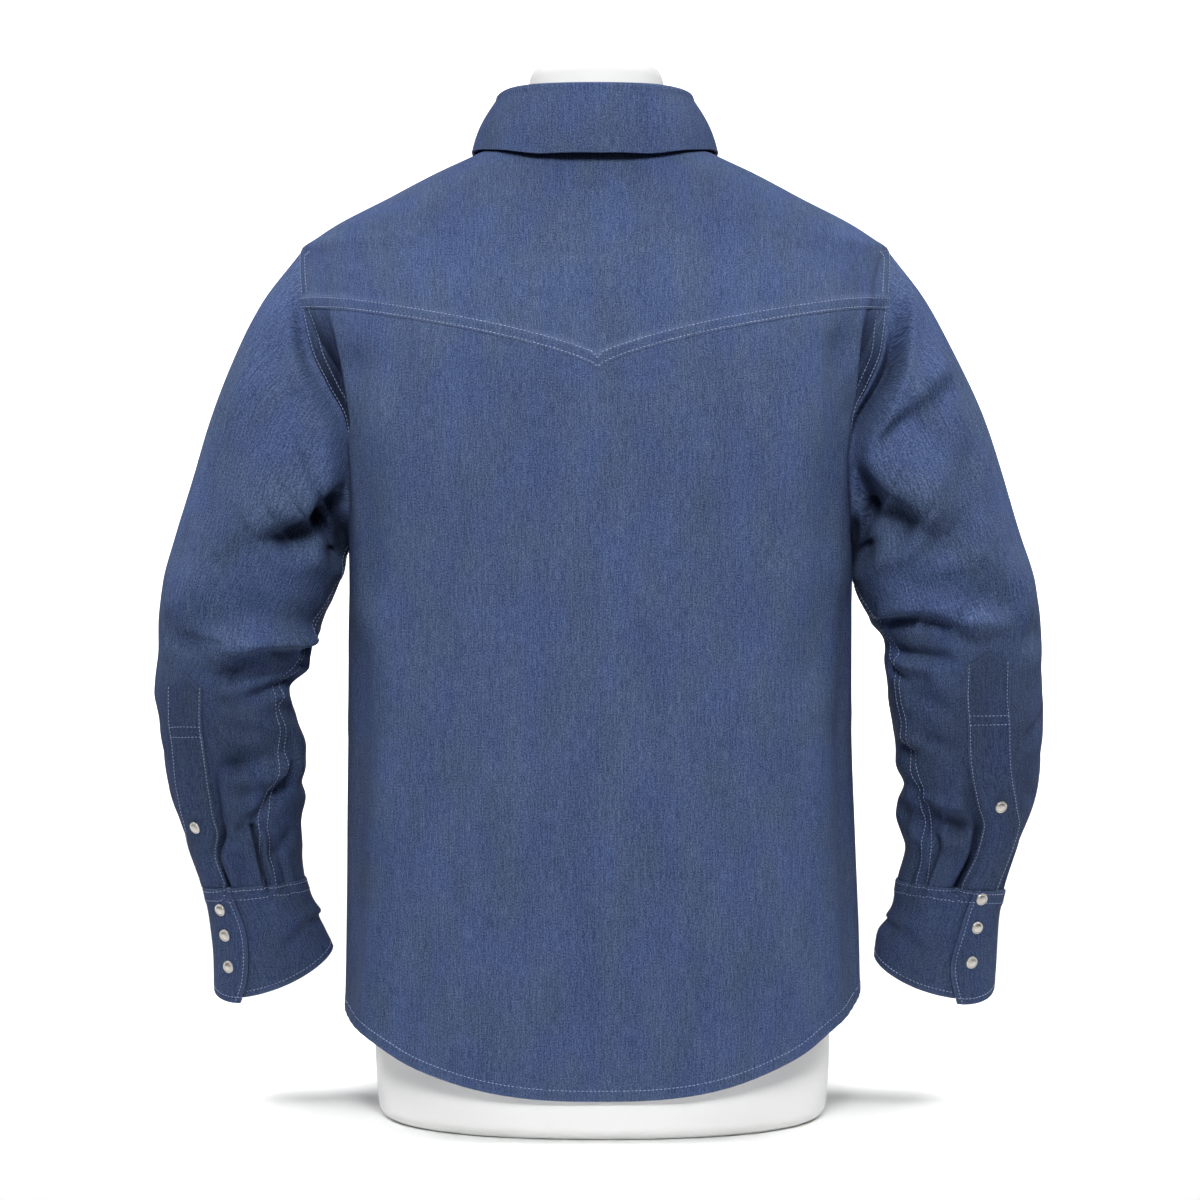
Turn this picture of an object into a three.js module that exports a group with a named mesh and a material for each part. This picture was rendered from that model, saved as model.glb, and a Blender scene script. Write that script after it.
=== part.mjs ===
import * as THREE from "three";

// A snap-front denim shirt with long sleeves, worn by a limbless dress form. Units are millimetres.
// +Z is up, the shirt's front faces -Y, the wearer's left is +X, and the origin is the middle of the form's flat base.

const clothThickness = 1.2;
const doubledThickness = 2.2; // collar, stand, cuffs and bands are two layers with interlining
const seamGap = 0.3;
const layerGap = 0.4; // between a panel and what lies on it
const layerStep = clothThickness + layerGap;

const shoulderZ = 688;
const underarmZ = 456;
const armholeBackDepth = 54;
const armholeFrontDepth = 50;
const armholeScoop = 0.16; // how much wider the armhole is below than above

const hemBackZ = 32;
const hemFrontZ = 46;
const hemLeftSideZ = 88;
const hemRightSideZ = 101;
const hemCurve = 2.6;

const yokeTipZ = 587;
const yokeCurve = 0.74;
const neckBackZ = 768;
const neckSideZ = 774;
const neckFrontZ = 712;

const bandHalfWidth = 17.5;
const underlap = 15;
const frontSnapTopZ = 668;
const frontSnapBottomZ = 130;
const frontSnapCount = 6;

const standBackHeight = 34;
const standFrontHeight = 25;
const standEndHeight = 13;
const standOut = 0.5;
const standLean = 6;

const cuffLap = 28; // degrees round the wrist
const cuffStandOut = 0.8;
const cuffGapRings = 0.025; // the gap under the sleeve, as a share of a ring's length

const sleevePlacketHalfWidth = 16;
const ringLength = 24; // about how far apart the sleeves' rings are there
const placketOut = 2; // how far its outer face stands off the sleeve
const bandCalmTurn = 20; // degrees either side of its middle

// Counts of mesh divisions.
const bodyRows = 8;
const armholeSteps = 26;
const yokeArmholeSteps = 4;
const ridgeRows = 5;
const halfColumns = 10;
const frontColumns = 8;
const sleeveRows = 21;
const cuffRowCount = 4;
const cuffColumns = 27;
const snapSides = 10;
const formColumns = 24;

const denim = new THREE.MeshStandardMaterial({ color: 0x47577c, roughness: 0.85, metalness: 0 });
const snapMetal = new THREE.MeshStandardMaterial({ color: 0xb9b4ad, roughness: 0.35, metalness: 0.9 });
const formPlastic = new THREE.MeshStandardMaterial({ color: 0xefefee, roughness: 0.55, metalness: 0 });

// The shirt's body as level rings. back and front are depths from the side seam, and the square columns say how boxy
// each half is, 2 being an ellipse. lean moves the ring towards the wearer's left.
const torsoRings = [
  { z: 20, halfWidth: 204, back: 117, front: 114, squareBack: 3.0, squareFront: 2.6, lean: -2 },
  { z: 100, halfWidth: 203, back: 117, front: 116, squareBack: 3.0, squareFront: 2.6, lean: -2 },
  { z: 220, halfWidth: 200, back: 115, front: 116, squareBack: 3.0, squareFront: 2.6, lean: -1 },
  { z: 340, halfWidth: 198, back: 115, front: 119, squareBack: 3.1, squareFront: 2.6, lean: 0 },
  { z: 456, halfWidth: 198, back: 119, front: 123, squareBack: 3.5, squareFront: 2.6, lean: 0 },
  { z: 530, halfWidth: 202, back: 122, front: 123, squareBack: 3.9, squareFront: 2.7, lean: 1 },
  { z: 590, halfWidth: 208, back: 120, front: 115, squareBack: 3.3, squareFront: 2.6, lean: 2 },
  { z: 640, halfWidth: 226, back: 112, front: 103, squareBack: 2.6, squareFront: 2.4, lean: 4 },
  { z: 688, halfWidth: 235, back: 98, front: 89, squareBack: 2.1, squareFront: 2.1, lean: 4 },
  { z: 697, halfWidth: 223, back: 95.5, front: 86.5, squareBack: 2.16, squareFront: 2.14, lean: 4 },
  { z: 707, halfWidth: 207, back: 92.5, front: 84, squareBack: 2.28, squareFront: 2.24, lean: 4 },
  { z: 726, halfWidth: 168, back: 87, front: 79, squareBack: 2.55, squareFront: 2.45, lean: 4 },
  { z: 745, halfWidth: 129, back: 82, front: 74, squareBack: 3.0, squareFront: 2.7, lean: 4 },
  { z: 764, halfWidth: 90, back: 77.5, front: 69.5, squareBack: 2.7, squareFront: 2.5, lean: 4 },
  { z: 776, halfWidth: 72, back: 75, front: 66, squareBack: 2.3, squareFront: 2.3, lean: 4 },
];

// How far out the armhole seam lies at each height.
const armholeSeam = [
  { z: 456, halfWidth: 198 },
  { z: 485, halfWidth: 193 },
  { z: 520, halfWidth: 190 },
  { z: 560, halfWidth: 191 },
  { z: 590, halfWidth: 199 },
  { z: 615, halfWidth: 213 },
  { z: 640, halfWidth: 225 },
  { z: 668, halfWidth: 233 },
  { z: 688, halfWidth: 235 },
];

// Each sleeve as rings that open like the pages of a book from the armhole, then run down the arm into the cuff.
// outer and inner are a ring's two side points seen from behind, as distances from the middle and heights.
const leftSleeveRings = [
  { outerX: 239, outerZ: 688, innerX: 198, innerZ: 456, centreY: 0, halfDepth: 52 },
  { outerX: 268, outerZ: 648, innerX: 201, innerZ: 453, centreY: 4, halfDepth: 64 },
  { outerX: 290, outerZ: 604, innerX: 203, innerZ: 449, centreY: 7, halfDepth: 70 },
  { outerX: 307, outerZ: 558, innerX: 205, innerZ: 442, centreY: 8, halfDepth: 69 },
  { outerX: 322, outerZ: 508, innerX: 209, innerZ: 427, centreY: 8, halfDepth: 66 },
  { outerX: 336, outerZ: 464, innerX: 215, innerZ: 408, centreY: 8, halfDepth: 62 },
  { outerX: 347, outerZ: 424, innerX: 225, innerZ: 388, centreY: 7, halfDepth: 58 },
  { outerX: 352, outerZ: 392, innerX: 229, innerZ: 370, centreY: 4, halfDepth: 55 },
  { outerX: 353, outerZ: 366, innerX: 233, innerZ: 357, centreY: 0, halfDepth: 52 },
  { outerX: 355, outerZ: 340, innerX: 250, innerZ: 340, centreY: -4, halfDepth: 49 },
  { outerX: 354, outerZ: 314, innerX: 246, innerZ: 318, centreY: -10, halfDepth: 49 },
  { outerX: 351, outerZ: 286, innerX: 238, innerZ: 290, centreY: -18, halfDepth: 47 },
  { outerX: 348, outerZ: 257, innerX: 240, innerZ: 257, centreY: -27, halfDepth: 45 },
  { outerX: 342, outerZ: 231, innerX: 244, innerZ: 228, centreY: -36, halfDepth: 42 },
  { outerX: 333, outerZ: 205, innerX: 244, innerZ: 207, centreY: -42, halfDepth: 40 },
  { outerX: 324, outerZ: 176, innerX: 242, innerZ: 183, centreY: -48, halfDepth: 38 },
  { outerX: 319, outerZ: 145, innerX: 233, innerZ: 156, centreY: -54, halfDepth: 37 },
  { outerX: 317, outerZ: 119, innerX: 226, innerZ: 136, centreY: -58, halfDepth: 35 },
  { outerX: 317, outerZ: 94, innerX: 221, innerZ: 124, centreY: -61, halfDepth: 33 },
];
const leftCuffRing = 15; // where the sleeve meets its cuff

const rightSleeveRings = [
  { outerX: 231, outerZ: 688, innerX: 198, innerZ: 456, centreY: 0, halfDepth: 52 },
  { outerX: 258, outerZ: 650, innerX: 200, innerZ: 451, centreY: 4, halfDepth: 65 },
  { outerX: 281, outerZ: 606, innerX: 201, innerZ: 445, centreY: 7, halfDepth: 72 },
  { outerX: 302, outerZ: 560, innerX: 202, innerZ: 437, centreY: 8, halfDepth: 71 },
  { outerX: 319, outerZ: 510, innerX: 204, innerZ: 421, centreY: 8, halfDepth: 67 },
  { outerX: 333, outerZ: 464, innerX: 210, innerZ: 405, centreY: 8, halfDepth: 63 },
  { outerX: 346, outerZ: 422, innerX: 218, innerZ: 392, centreY: 6, halfDepth: 59 },
  { outerX: 351, outerZ: 390, innerX: 228, innerZ: 377, centreY: 2, halfDepth: 55 },
  { outerX: 353, outerZ: 362, innerX: 230, innerZ: 357, centreY: -2, halfDepth: 52 },
  { outerX: 353, outerZ: 336, innerX: 232, innerZ: 335, centreY: -6, halfDepth: 50 },
  { outerX: 356, outerZ: 307, innerX: 237, innerZ: 306, centreY: -13, halfDepth: 48 },
  { outerX: 355, outerZ: 281, innerX: 239, innerZ: 281, centreY: -20, halfDepth: 47 },
  { outerX: 353, outerZ: 257, innerX: 245, innerZ: 254, centreY: -27, halfDepth: 45 },
  { outerX: 349, outerZ: 235, innerX: 242, innerZ: 236, centreY: -33, halfDepth: 43 },
  { outerX: 340, outerZ: 210, innerX: 249, innerZ: 209, centreY: -40, halfDepth: 40 },
  { outerX: 330, outerZ: 174, innerX: 244, innerZ: 182, centreY: -48, halfDepth: 38 },
  { outerX: 326, outerZ: 145, innerX: 240, innerZ: 155, centreY: -54, halfDepth: 37 },
  { outerX: 325, outerZ: 121, innerX: 229, innerZ: 136, centreY: -58, halfDepth: 35 },
  { outerX: 324, outerZ: 95, innerX: 227, innerZ: 117, centreY: -61, halfDepth: 33 },
];
const rightCuffRing = 15;

// The largest folds of each sleeve. ring counts along the sleeve's rings and turn is degrees around it: 0 outside,
// 90 behind, 180 inside, 270 in front. depth is how far the cloth moves out, and below 0 it is a trough.
const leftSleeveFolds = [
  { ring: 1.4, turn: 92, toRing: 3.2, toTurn: 116, width: 18, depth: -8 },
  { ring: 7.7, turn: 160, toRing: 8.5, toTurn: 80, width: 12, depth: -7 },
  { ring: 7.4, turn: 200, toRing: 8.6, toTurn: 270, width: 14, depth: -5 },
  { ring: 6.9, turn: 150, toRing: 7.6, toTurn: 85, width: 14, depth: 4 },
  { ring: 10.9, turn: 150, toRing: 11.4, toTurn: 75, width: 10, depth: -5 },
  { ring: 12.9, turn: 200, toRing: 13.1, toTurn: 290, width: 12, depth: -5 },
  { ring: 9.6, turn: 250, toRing: 11, toTurn: 320, width: 14, depth: -6 },
  { ring: 4.2, turn: 235, toRing: 6.5, toTurn: 290, width: 18, depth: -6 },
];
const rightSleeveFolds = [
  { ring: 1.3, turn: 92, toRing: 3.2, toTurn: 114, width: 18, depth: -9 },
  { ring: 4.1, turn: 62, toRing: 4.8, toTurn: 112, width: 13, depth: -6 },
  { ring: 7.1, turn: 160, toRing: 7.4, toTurn: 85, width: 12, depth: -8 },
  { ring: 6.5, turn: 150, toRing: 6.8, toTurn: 85, width: 14, depth: 4 },
  { ring: 7.2, turn: 205, toRing: 8.4, toTurn: 275, width: 14, depth: -5 },
  { ring: 12.9, turn: 165, toRing: 13.3, toTurn: 95, width: 10, depth: -6 },
  { ring: 10.4, turn: 240, toRing: 11.6, toTurn: 320, width: 14, depth: -6 },
  { ring: 4.4, turn: 240, toRing: 6.4, toTurn: 300, width: 18, depth: -6 },
];

// The largest folds of the body. turn is degrees round from the centre back towards the wearer's left.
const torsoFolds = [
  { z: 600, turn: -52, toZ: 360, toTurn: -48, width: 16, depth: -4 },
  { z: 585, turn: 52, toZ: 420, toTurn: 50, width: 15, depth: -3 },
  { z: 400, turn: -60, toZ: 120, toTurn: -62, width: 20, depth: -4 },
  { z: 360, turn: 58, toZ: 110, toTurn: 64, width: 20, depth: -4 },
  { z: 560, turn: 132, toZ: 300, toTurn: 128, width: 22, depth: -5 },
  { z: 560, turn: -132, toZ: 320, toTurn: -130, width: 22, depth: -5 },
  { z: 330, turn: 150, toZ: 90, toTurn: 146, width: 20, depth: -4 },
  { z: 340, turn: -150, toZ: 90, toTurn: -148, width: 20, depth: -4 },
];
const torsoFoldRadius = 165; // turns the folds' degrees into distances round the body
const sleeveFoldRadius = 55;

// The collar's outer edge, from the centre back round to the point. turn is degrees, reach is from the neck's middle.
const collarEdge = [
  { turn: 0, reach: 88, z: 753 },
  { turn: 25, reach: 94, z: 754 },
  { turn: 45, reach: 103, z: 760 },
  { turn: 65, reach: 102, z: 766 },
  { turn: 90, reach: 98, z: 769 },
  { turn: 118, reach: 103, z: 764 },
  { turn: 130, reach: 106, z: 750 },
  { turn: 140, reach: 108, z: 720 },
  { turn: 153, reach: 112, z: 683 },
];
// The collar's roll over the stand, as distances out from and up from the stand's top edge.
const collarRoll = [
  { out: -2.3, up: 0.4 },
  { out: -1.4, up: 3.4 },
  { out: 1.6, up: 4.8 },
  { out: 4.8, up: 3.2 },
  { out: 6.2, up: -1 },
];
const collarShares = [0.3, 0.65, 1]; // rows of the fall below the roll
const collarBow = 3;

// A snap's section.
const snapProfile = [
  { radius: 5.2, height: 0 },
  { radius: 5.2, height: 1.4 },
  { radius: 3.4, height: 2.5 },
];
const snapGap = 0.5;

// The limbless form, from its base to the top of its neck.
const formRings = [
  { z: 0, halfWidth: 168, back: 101, front: 99, square: 2.2, lean: -2 },
  { z: 3, halfWidth: 174, back: 107, front: 105, square: 2.2, lean: -2 },
  { z: 10, halfWidth: 178, back: 111, front: 109, square: 2.2, lean: -2 },
  { z: 60, halfWidth: 181, back: 113, front: 110, square: 2.2, lean: -2 },
  { z: 130, halfWidth: 178, back: 110, front: 107, square: 2.2, lean: -2 },
  { z: 210, halfWidth: 162, back: 99, front: 101, square: 2.2, lean: -1 },
  { z: 280, halfWidth: 154, back: 94, front: 99, square: 2.2, lean: 0 },
  { z: 370, halfWidth: 161, back: 99, front: 105, square: 2.2, lean: 0 },
  { z: 460, halfWidth: 170, back: 107, front: 112, square: 2.2, lean: 0 },
  { z: 540, halfWidth: 174, back: 111, front: 110, square: 2.2, lean: 1 },
  { z: 600, halfWidth: 183, back: 107, front: 100, square: 2.2, lean: 2 },
  { z: 645, halfWidth: 202, back: 98, front: 88, square: 2.1, lean: 4 },
  { z: 680, halfWidth: 213, back: 86, front: 76, square: 2.0, lean: 4 },
  { z: 700, halfWidth: 205, back: 80, front: 71, square: 2.0, lean: 4 },
  { z: 722, halfWidth: 168, back: 74, front: 67, square: 2.0, lean: 4 },
  { z: 741, halfWidth: 129, back: 69, front: 63, square: 2.0, lean: 4 },
  { z: 760, halfWidth: 88, back: 64, front: 59, square: 2.0, lean: 4 },
  { z: 780, halfWidth: 62, back: 58, front: 56, square: 2.0, lean: 3 },
  { z: 800, halfWidth: 56, back: 54, front: 54, square: 2.0, lean: 3 },
  { z: 824, halfWidth: 53.5, back: 52, front: 53, square: 2.0, lean: 3 },
  { z: 832, halfWidth: 50, back: 48, front: 49, square: 2.0, lean: 3 },
  { z: 835, halfWidth: 42, back: 41, front: 42, square: 2.0, lean: 3 },
];

const degrees = Math.PI / 180;
const mix = (a, b, t) => a + (b - a) * t;
const clamp01 = (t) => Math.min(1, Math.max(0, t));
const ease = (t) => clamp01(t) ** 2 * (3 - 2 * clamp01(t));

// A smooth curve through one column of a table against another, which never overshoots its rows.
function curveThrough(rows, against, column) {
  const x = rows.map((row) => row[against]);
  const y = rows.map((row) => row[column]);
  const last = rows.length - 1;
  const slopes = [];
  for (let i = 0; i < last; i += 1) slopes.push((y[i + 1] - y[i]) / (x[i + 1] - x[i]));
  const tangents = x.map((_, i) => {
    if (i === 0) return slopes[0];
    if (i === last) return slopes[last - 1];
    const before = slopes[i - 1];
    const after = slopes[i];
    return before * after <= 0 ? 0 : (2 * before * after) / (before + after);
  });
  return (at) => {
    if (at <= x[0]) return y[0];
    if (at >= x[last]) return y[last];
    let i = 0;
    while (at > x[i + 1]) i += 1;
    const span = x[i + 1] - x[i];
    const t = (at - x[i]) / span;
    const startPart = (1 + 2 * t) * (1 - t) ** 2 * y[i] + t * (1 - t) ** 2 * span * tangents[i];
    const endPart = t ** 2 * (3 - 2 * t) * y[i + 1] - t ** 2 * (1 - t) * span * tangents[i + 1];
    return startPart + endPart;
  };
}

function curvesThrough(rows, against) {
  const curves = {};
  for (const column of Object.keys(rows[0])) {
    if (column !== against) curves[column] = curveThrough(rows, against, column);
  }
  return curves;
}

// How far a fold moves the cloth, at a distance from the fold's line: a soft trough or ridge with a low swell beside it.
function foldShape(distance, fold) {
  const across = distance / fold.width;
  return fold.depth * (Math.exp(-(across ** 2)) - 0.3 * Math.exp(-((across - 2) ** 2)));
}

function distanceToLine(along, around, start, end) {
  const run = end.clone().sub(start);
  const point = new THREE.Vector2(along, around).sub(start);
  const share = clamp01(point.dot(run) / run.lengthSq());
  return point.distanceTo(run.multiplyScalar(share));
}

const torso = curvesThrough(torsoRings, "z");
const armholeHalfWidth = curveThrough(armholeSeam, "z", "halfWidth");

function turnedNear(turn, around) {
  return around - 360 * Math.round((around - turn) / 360);
}

function torsoFoldDepth(turn, z) {
  let total = 0;
  for (const fold of torsoFolds) {
    const near = turnedNear(fold.turn, turn);
    const start = new THREE.Vector2(fold.z, fold.turn * degrees * torsoFoldRadius);
    const end = new THREE.Vector2(fold.toZ, fold.toTurn * degrees * torsoFoldRadius);
    total += foldShape(distanceToLine(z, near * degrees * torsoFoldRadius, start, end), fold);
  }
  return total;
}

// A point of the body's outer surface. turn is degrees from the centre back towards the wearer's left, and out is how
// far it stands off the surface.
function torsoPoint(turn, z, out = 0) {
  const sine = Math.sin(turn * degrees);
  const cosine = Math.cos(turn * degrees);
  const isBack = cosine >= 0;
  const square = isBack ? torso.squareBack(z) : torso.squareFront(z);
  const reach = (Math.abs(sine) ** square + Math.abs(cosine) ** square) ** (-1 / square);
  const move = out + torsoFoldDepth(turn, z);
  const halfWidth = torso.halfWidth(z) + move;
  const depth = (isBack ? torso.back(z) : torso.front(z)) + move;
  return new THREE.Vector3(torso.lean(z) + halfWidth * reach * sine, depth * reach * cosine, z);
}

// The turn, from the centre back, at which the body's ring reaches a given depth or distance from the middle.
function turnAtDepth(y, z) {
  const isBack = y >= 0;
  const square = isBack ? torso.squareBack(z) : torso.squareFront(z);
  const cosine = y / (isBack ? torso.back(z) : torso.front(z));
  return Math.atan2((1 - Math.abs(cosine) ** square) ** (1 / square), cosine) / degrees;
}

function turnAtFrontX(x, z) {
  const square = torso.squareFront(z);
  const sine = x / torso.halfWidth(z);
  return Math.atan2(sine, -((1 - Math.abs(sine) ** square) ** (1 / square))) / degrees;
}

// The armhole seam. step runs from 0 at the shoulder point back and down to the underarm and up the front.
function armholePoint(step, side) {
  const angle = (step * 2 * Math.PI) / armholeSteps;
  const z = (shoulderZ + underarmZ) / 2 + ((shoulderZ - underarmZ) / 2) * Math.cos(angle);
  const depth = Math.sin(angle) >= 0 ? armholeBackDepth : armholeFrontDepth;
  const y = depth * Math.sin(angle) * (1 - armholeScoop * Math.cos(angle));
  return new THREE.Vector3(torso.lean(z) + side * armholeHalfWidth(z), y, z);
}

const none = () => 0;

// A row of body points from startTurn to the side seam or, given an armhole step, to the armhole seam, which draws the
// row's end to itself.
function bodyRow({ side, startTurn, heights, step = null, columns, out = none, turns = (share, turn) => turn }) {
  const seam = step === null ? torsoPoint(90 * side, heights(1)) : armholePoint(step, side);
  const endTurn = step === null ? 90 * side : side * turnAtDepth(seam.y, seam.z);
  const pull = seam.clone().sub(torsoPoint(endTurn, seam.z));
  const row = [];
  for (let c = 0; c <= columns; c += 1) {
    const share = c / columns;
    const turn = mix(startTurn, 90 * side, share) - (90 * side - endTurn) * share ** 3;
    const point = torsoPoint(turns(share, turn), heights(share), out(share));
    row.push(point.addScaledVector(pull, ease((share - 0.62) / 0.38)));
  }
  return row;
}

const hemSideZ = (side) => (side > 0 ? hemLeftSideZ : hemRightSideZ);

function hemZ(centreZ, turn, side) {
  const across = Math.abs(torsoPoint(turn, 90).x - torso.lean(90)) / torso.halfWidth(90);
  return mix(centreZ, hemSideZ(side), clamp01(across) ** hemCurve);
}

// Heights of the rows up the shoulder seam, of the neckline and of the yoke's pointed seam.
const ridgeZ = (row) => mix(shoulderZ, neckSideZ, row / ridgeRows);
const neckBackHeight = (share) => mix(neckBackZ, neckSideZ, share ** 2);
const neckHalfWidth = torso.halfWidth(neckSideZ);
const neckAngle = (share) => mix(Math.asin(bandHalfWidth / neckHalfWidth), Math.PI / 2, share);
const neckFrontHeight = (share) => mix(neckFrontZ, neckSideZ, 1 - Math.cos(neckAngle(share)));

// The height of the yoke's pointed seam, which drops faster near the middle.
function yokeSeamHeight(share) {
  const end = armholePoint(yokeArmholeSteps, 1);
  const endTurn = turnAtDepth(end.y, end.z);
  const across = (turn) => torsoPoint(turn, end.z).x - torso.lean(end.z);
  const turn = 90 * share - (90 - endTurn) * share ** 3;
  return mix(yokeTipZ, end.z, clamp01(across(turn) / across(endTurn)) ** yokeCurve);
}

// Rows of one half of the back below the yoke, from the centre out to the side.
function backRows(side) {
  const rows = [];
  for (let r = 0; r < bodyRows; r += 1) {
    const heights = (share) => mix(hemZ(hemBackZ, 90 * share, side), underarmZ, r / bodyRows);
    rows.push(bodyRow({ side, startTurn: 0, heights, columns: halfColumns }));
  }
  for (let step = armholeSteps / 2; step >= yokeArmholeSteps; step -= 1) {
    const topZ = armholePoint(yokeArmholeSteps, side).z;
    const rise = (armholePoint(step, side).z - underarmZ) / (topZ - underarmZ);
    const heights = (share) => mix(underarmZ, yokeSeamHeight(share), rise);
    rows.push(bodyRow({ side, startTurn: 0, heights, step, columns: halfColumns }));
  }
  return rows;
}

function yokeRows(side) {
  const rows = [];
  const startZ = armholePoint(yokeArmholeSteps, side).z;
  const addRow = (z, step) => {
    const rise = (z - startZ) / (neckSideZ - startZ);
    const heights = (share) => mix(yokeSeamHeight(share), neckBackHeight(share), rise);
    rows.push(bodyRow({ side, startTurn: 0, heights, step, columns: halfColumns }));
  };
  for (let step = yokeArmholeSteps; step >= 1; step -= 1) addRow(armholePoint(step, side).z, step);
  for (let r = 0; r <= ridgeRows; r += 1) addRow(ridgeZ(r), null);
  return rows;
}

// Both halves of a row as one, from the wearer's right to the left.
function joinHalves(right, left) {
  return left.map((row, r) => [...right[r].slice(1).reverse(), ...row]);
}

// One front, from past the centre front round to the side. Its first two columns are the overlap, and its columns
// draw in towards the neck as the rows rise.
function frontRows(side, edgeX, out) {
  const rows = [];
  const addRow = (heights, step, turns) => {
    const z = heights(0);
    const overlap = [edgeX, 0].map((x) => torsoPoint(turnAtFrontX(x, z), z, out(0)));
    const startTurn = turnAtFrontX(side * bandHalfWidth, z);
    rows.push([...overlap, ...bodyRow({ side, startTurn, heights, step, columns: frontColumns, out, turns })]);
  };
  for (let r = 0; r < bodyRows; r += 1) {
    addRow((share) => mix(hemZ(hemFrontZ, 180 - 90 * share, side), underarmZ, r / bodyRows), null);
  }
  const addUpperRow = (z, step, nearNeck) => {
    const rise = (z - underarmZ) / (neckSideZ - underarmZ);
    const heights = (share) => mix(underarmZ, neckFrontHeight(share), rise);
    const turns = (share, turn) => {
      const x = side * neckHalfWidth * Math.sin(neckAngle(share));
      const pull = mix(rise ** 3 * (1 - share ** 2), 1, nearNeck);
      return mix(turn, turnAtFrontX(x, neckFrontHeight(share)), pull);
    };
    addRow(heights, step, turns);
  };
  for (let step = armholeSteps / 2; step < armholeSteps; step += 1) addUpperRow(armholePoint(step, side).z, step, 0);
  for (let r = 0; r <= ridgeRows; r += 1) addUpperRow(ridgeZ(r), null, ease(r / ridgeRows));
  return rows;
}

// The turn of the middle of the band over a sleeve's slit, at a ring.
function placketTurnAt({ placketTopRing, placketTopTurn, placketBottomTurn, cuffRing }, at) {
  return mix(placketTopTurn, placketBottomTurn, clamp01((at - placketTopRing) / (cuffRing - placketTopRing)));
}

function makeSleeve(spec) {
  const { rings, folds, side } = spec;
  const curves = curvesThrough(rings.map((ring, number) => ({ ...ring, number })), "number");
  const centre = (at) =>
    new THREE.Vector3(
      (side * (curves.outerX(at) + curves.innerX(at))) / 2,
      curves.centreY(at),
      (curves.outerZ(at) + curves.innerZ(at)) / 2,
    );
  const lengths = [{ number: 0, length: 0 }];
  for (let i = 1; i < rings.length; i += 1) {
    lengths.push({ number: i, length: lengths[i - 1].length + centre(i).distanceTo(centre(i - 1)) });
  }
  const lengthAt = curveThrough(lengths, "number", "length");
  const halfWidthAt = (at) =>
    Math.hypot(curves.outerX(at) - curves.innerX(at), curves.outerZ(at) - curves.innerZ(at)) / 2;
  const foldDepth = (at, turn) => {
    let total = 0;
    for (const fold of folds) {
      const around = turnedNear((fold.turn + fold.toTurn) / 2, turn) * degrees * sleeveFoldRadius;
      const start = new THREE.Vector2(lengthAt(fold.ring), fold.turn * degrees * sleeveFoldRadius);
      const end = new THREE.Vector2(lengthAt(fold.toRing), fold.toTurn * degrees * sleeveFoldRadius);
      total += foldShape(distanceToLine(lengthAt(at), around, start, end), fold);
    }
    // The doubled band keeps the cloth under it nearly flat.
    const offBand = Math.abs(turnedNear(0, turn) - placketTurnAt(spec, at)) - bandCalmTurn;
    const calm = ease((at - spec.placketTopRing + 1.5) / 1) * (1 - ease(offBand / bandCalmTurn));
    return total * ease(at / 1.2) * (1 - 0.9 * calm);
  };
  const plain = (at, turn, out) => {
    const across = new THREE.Vector3(
      side * (curves.outerX(at) - curves.innerX(at)),
      0,
      curves.outerZ(at) - curves.innerZ(at),
    ).setLength(halfWidthAt(at) + out);
    const made = centre(at).addScaledVector(across, Math.cos(turn * degrees));
    made.y += (curves.halfDepth(at) + out) * Math.sin(turn * degrees);
    return made;
  };
  const point = (at, turn, out = 0) => {
    const made = plain(at, turn, out + foldDepth(at, turn));
    const hold = 1 - ease(at / 2.2);
    const seam = armholePoint((turn / 360) * armholeSteps, side);
    return made.addScaledVector(seam.sub(plain(0, turn, 0)), hold);
  };
  // The direction straight out of the cloth at a point.
  const outwards = (at, turn, out) => {
    const along = point(at + 0.05, turn, out).sub(point(at - 0.05, turn, out));
    const around = point(at, turn + 2, out).sub(point(at, turn - 2, out));
    return along.cross(around).normalize().multiplyScalar(side);
  };
  const radiusAt = (at) => (halfWidthAt(at) + curves.halfDepth(at)) / 2;
  return { point, outwards, radiusAt, lengthAt };
}

// Cloth pieces. rows holds the points of a piece's outer surface, and mirrored says that its faces turn the other way.
const pieces = [];

function addCloth(name, rows, options = {}) {
  const piece = { name, rows, thickness: clothThickness, closed: false, mirrored: false, group: "body", ...options };
  pieces.push(piece);
  return piece;
}

function neighbour(piece, r, c) {
  const columns = piece.rows[0].length;
  const row = Math.min(piece.rows.length - 1, Math.max(0, r));
  const column = piece.closed ? (c + columns) % columns : Math.min(columns - 1, Math.max(0, c));
  return piece.rows[row][column];
}

function findNormals(piece) {
  piece.normals = piece.rows.map((row, r) =>
    row.map((_, c) => {
      const across = neighbour(piece, r, c + 1).clone().sub(neighbour(piece, r, c - 1));
      const along = neighbour(piece, r + 1, c).clone().sub(neighbour(piece, r - 1, c));
      const normal = along.cross(across).normalize();
      return piece.mirrored ? normal.negate() : normal;
    }),
  );
}

// Visits the points on a piece's open edges.
function eachEdgePoint(piece, visit) {
  const lastRow = piece.rows.length - 1;
  const lastColumn = piece.rows[0].length - 1;
  piece.rows.forEach((row, r) =>
    row.forEach((point, c) => {
      if (r === 0 || r === lastRow || (!piece.closed && (c === 0 || c === lastColumn))) visit(point, r, c);
    }),
  );
}

const seamKey = (point) => point.toArray().map((value) => Math.round(value * 20)).join();

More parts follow.
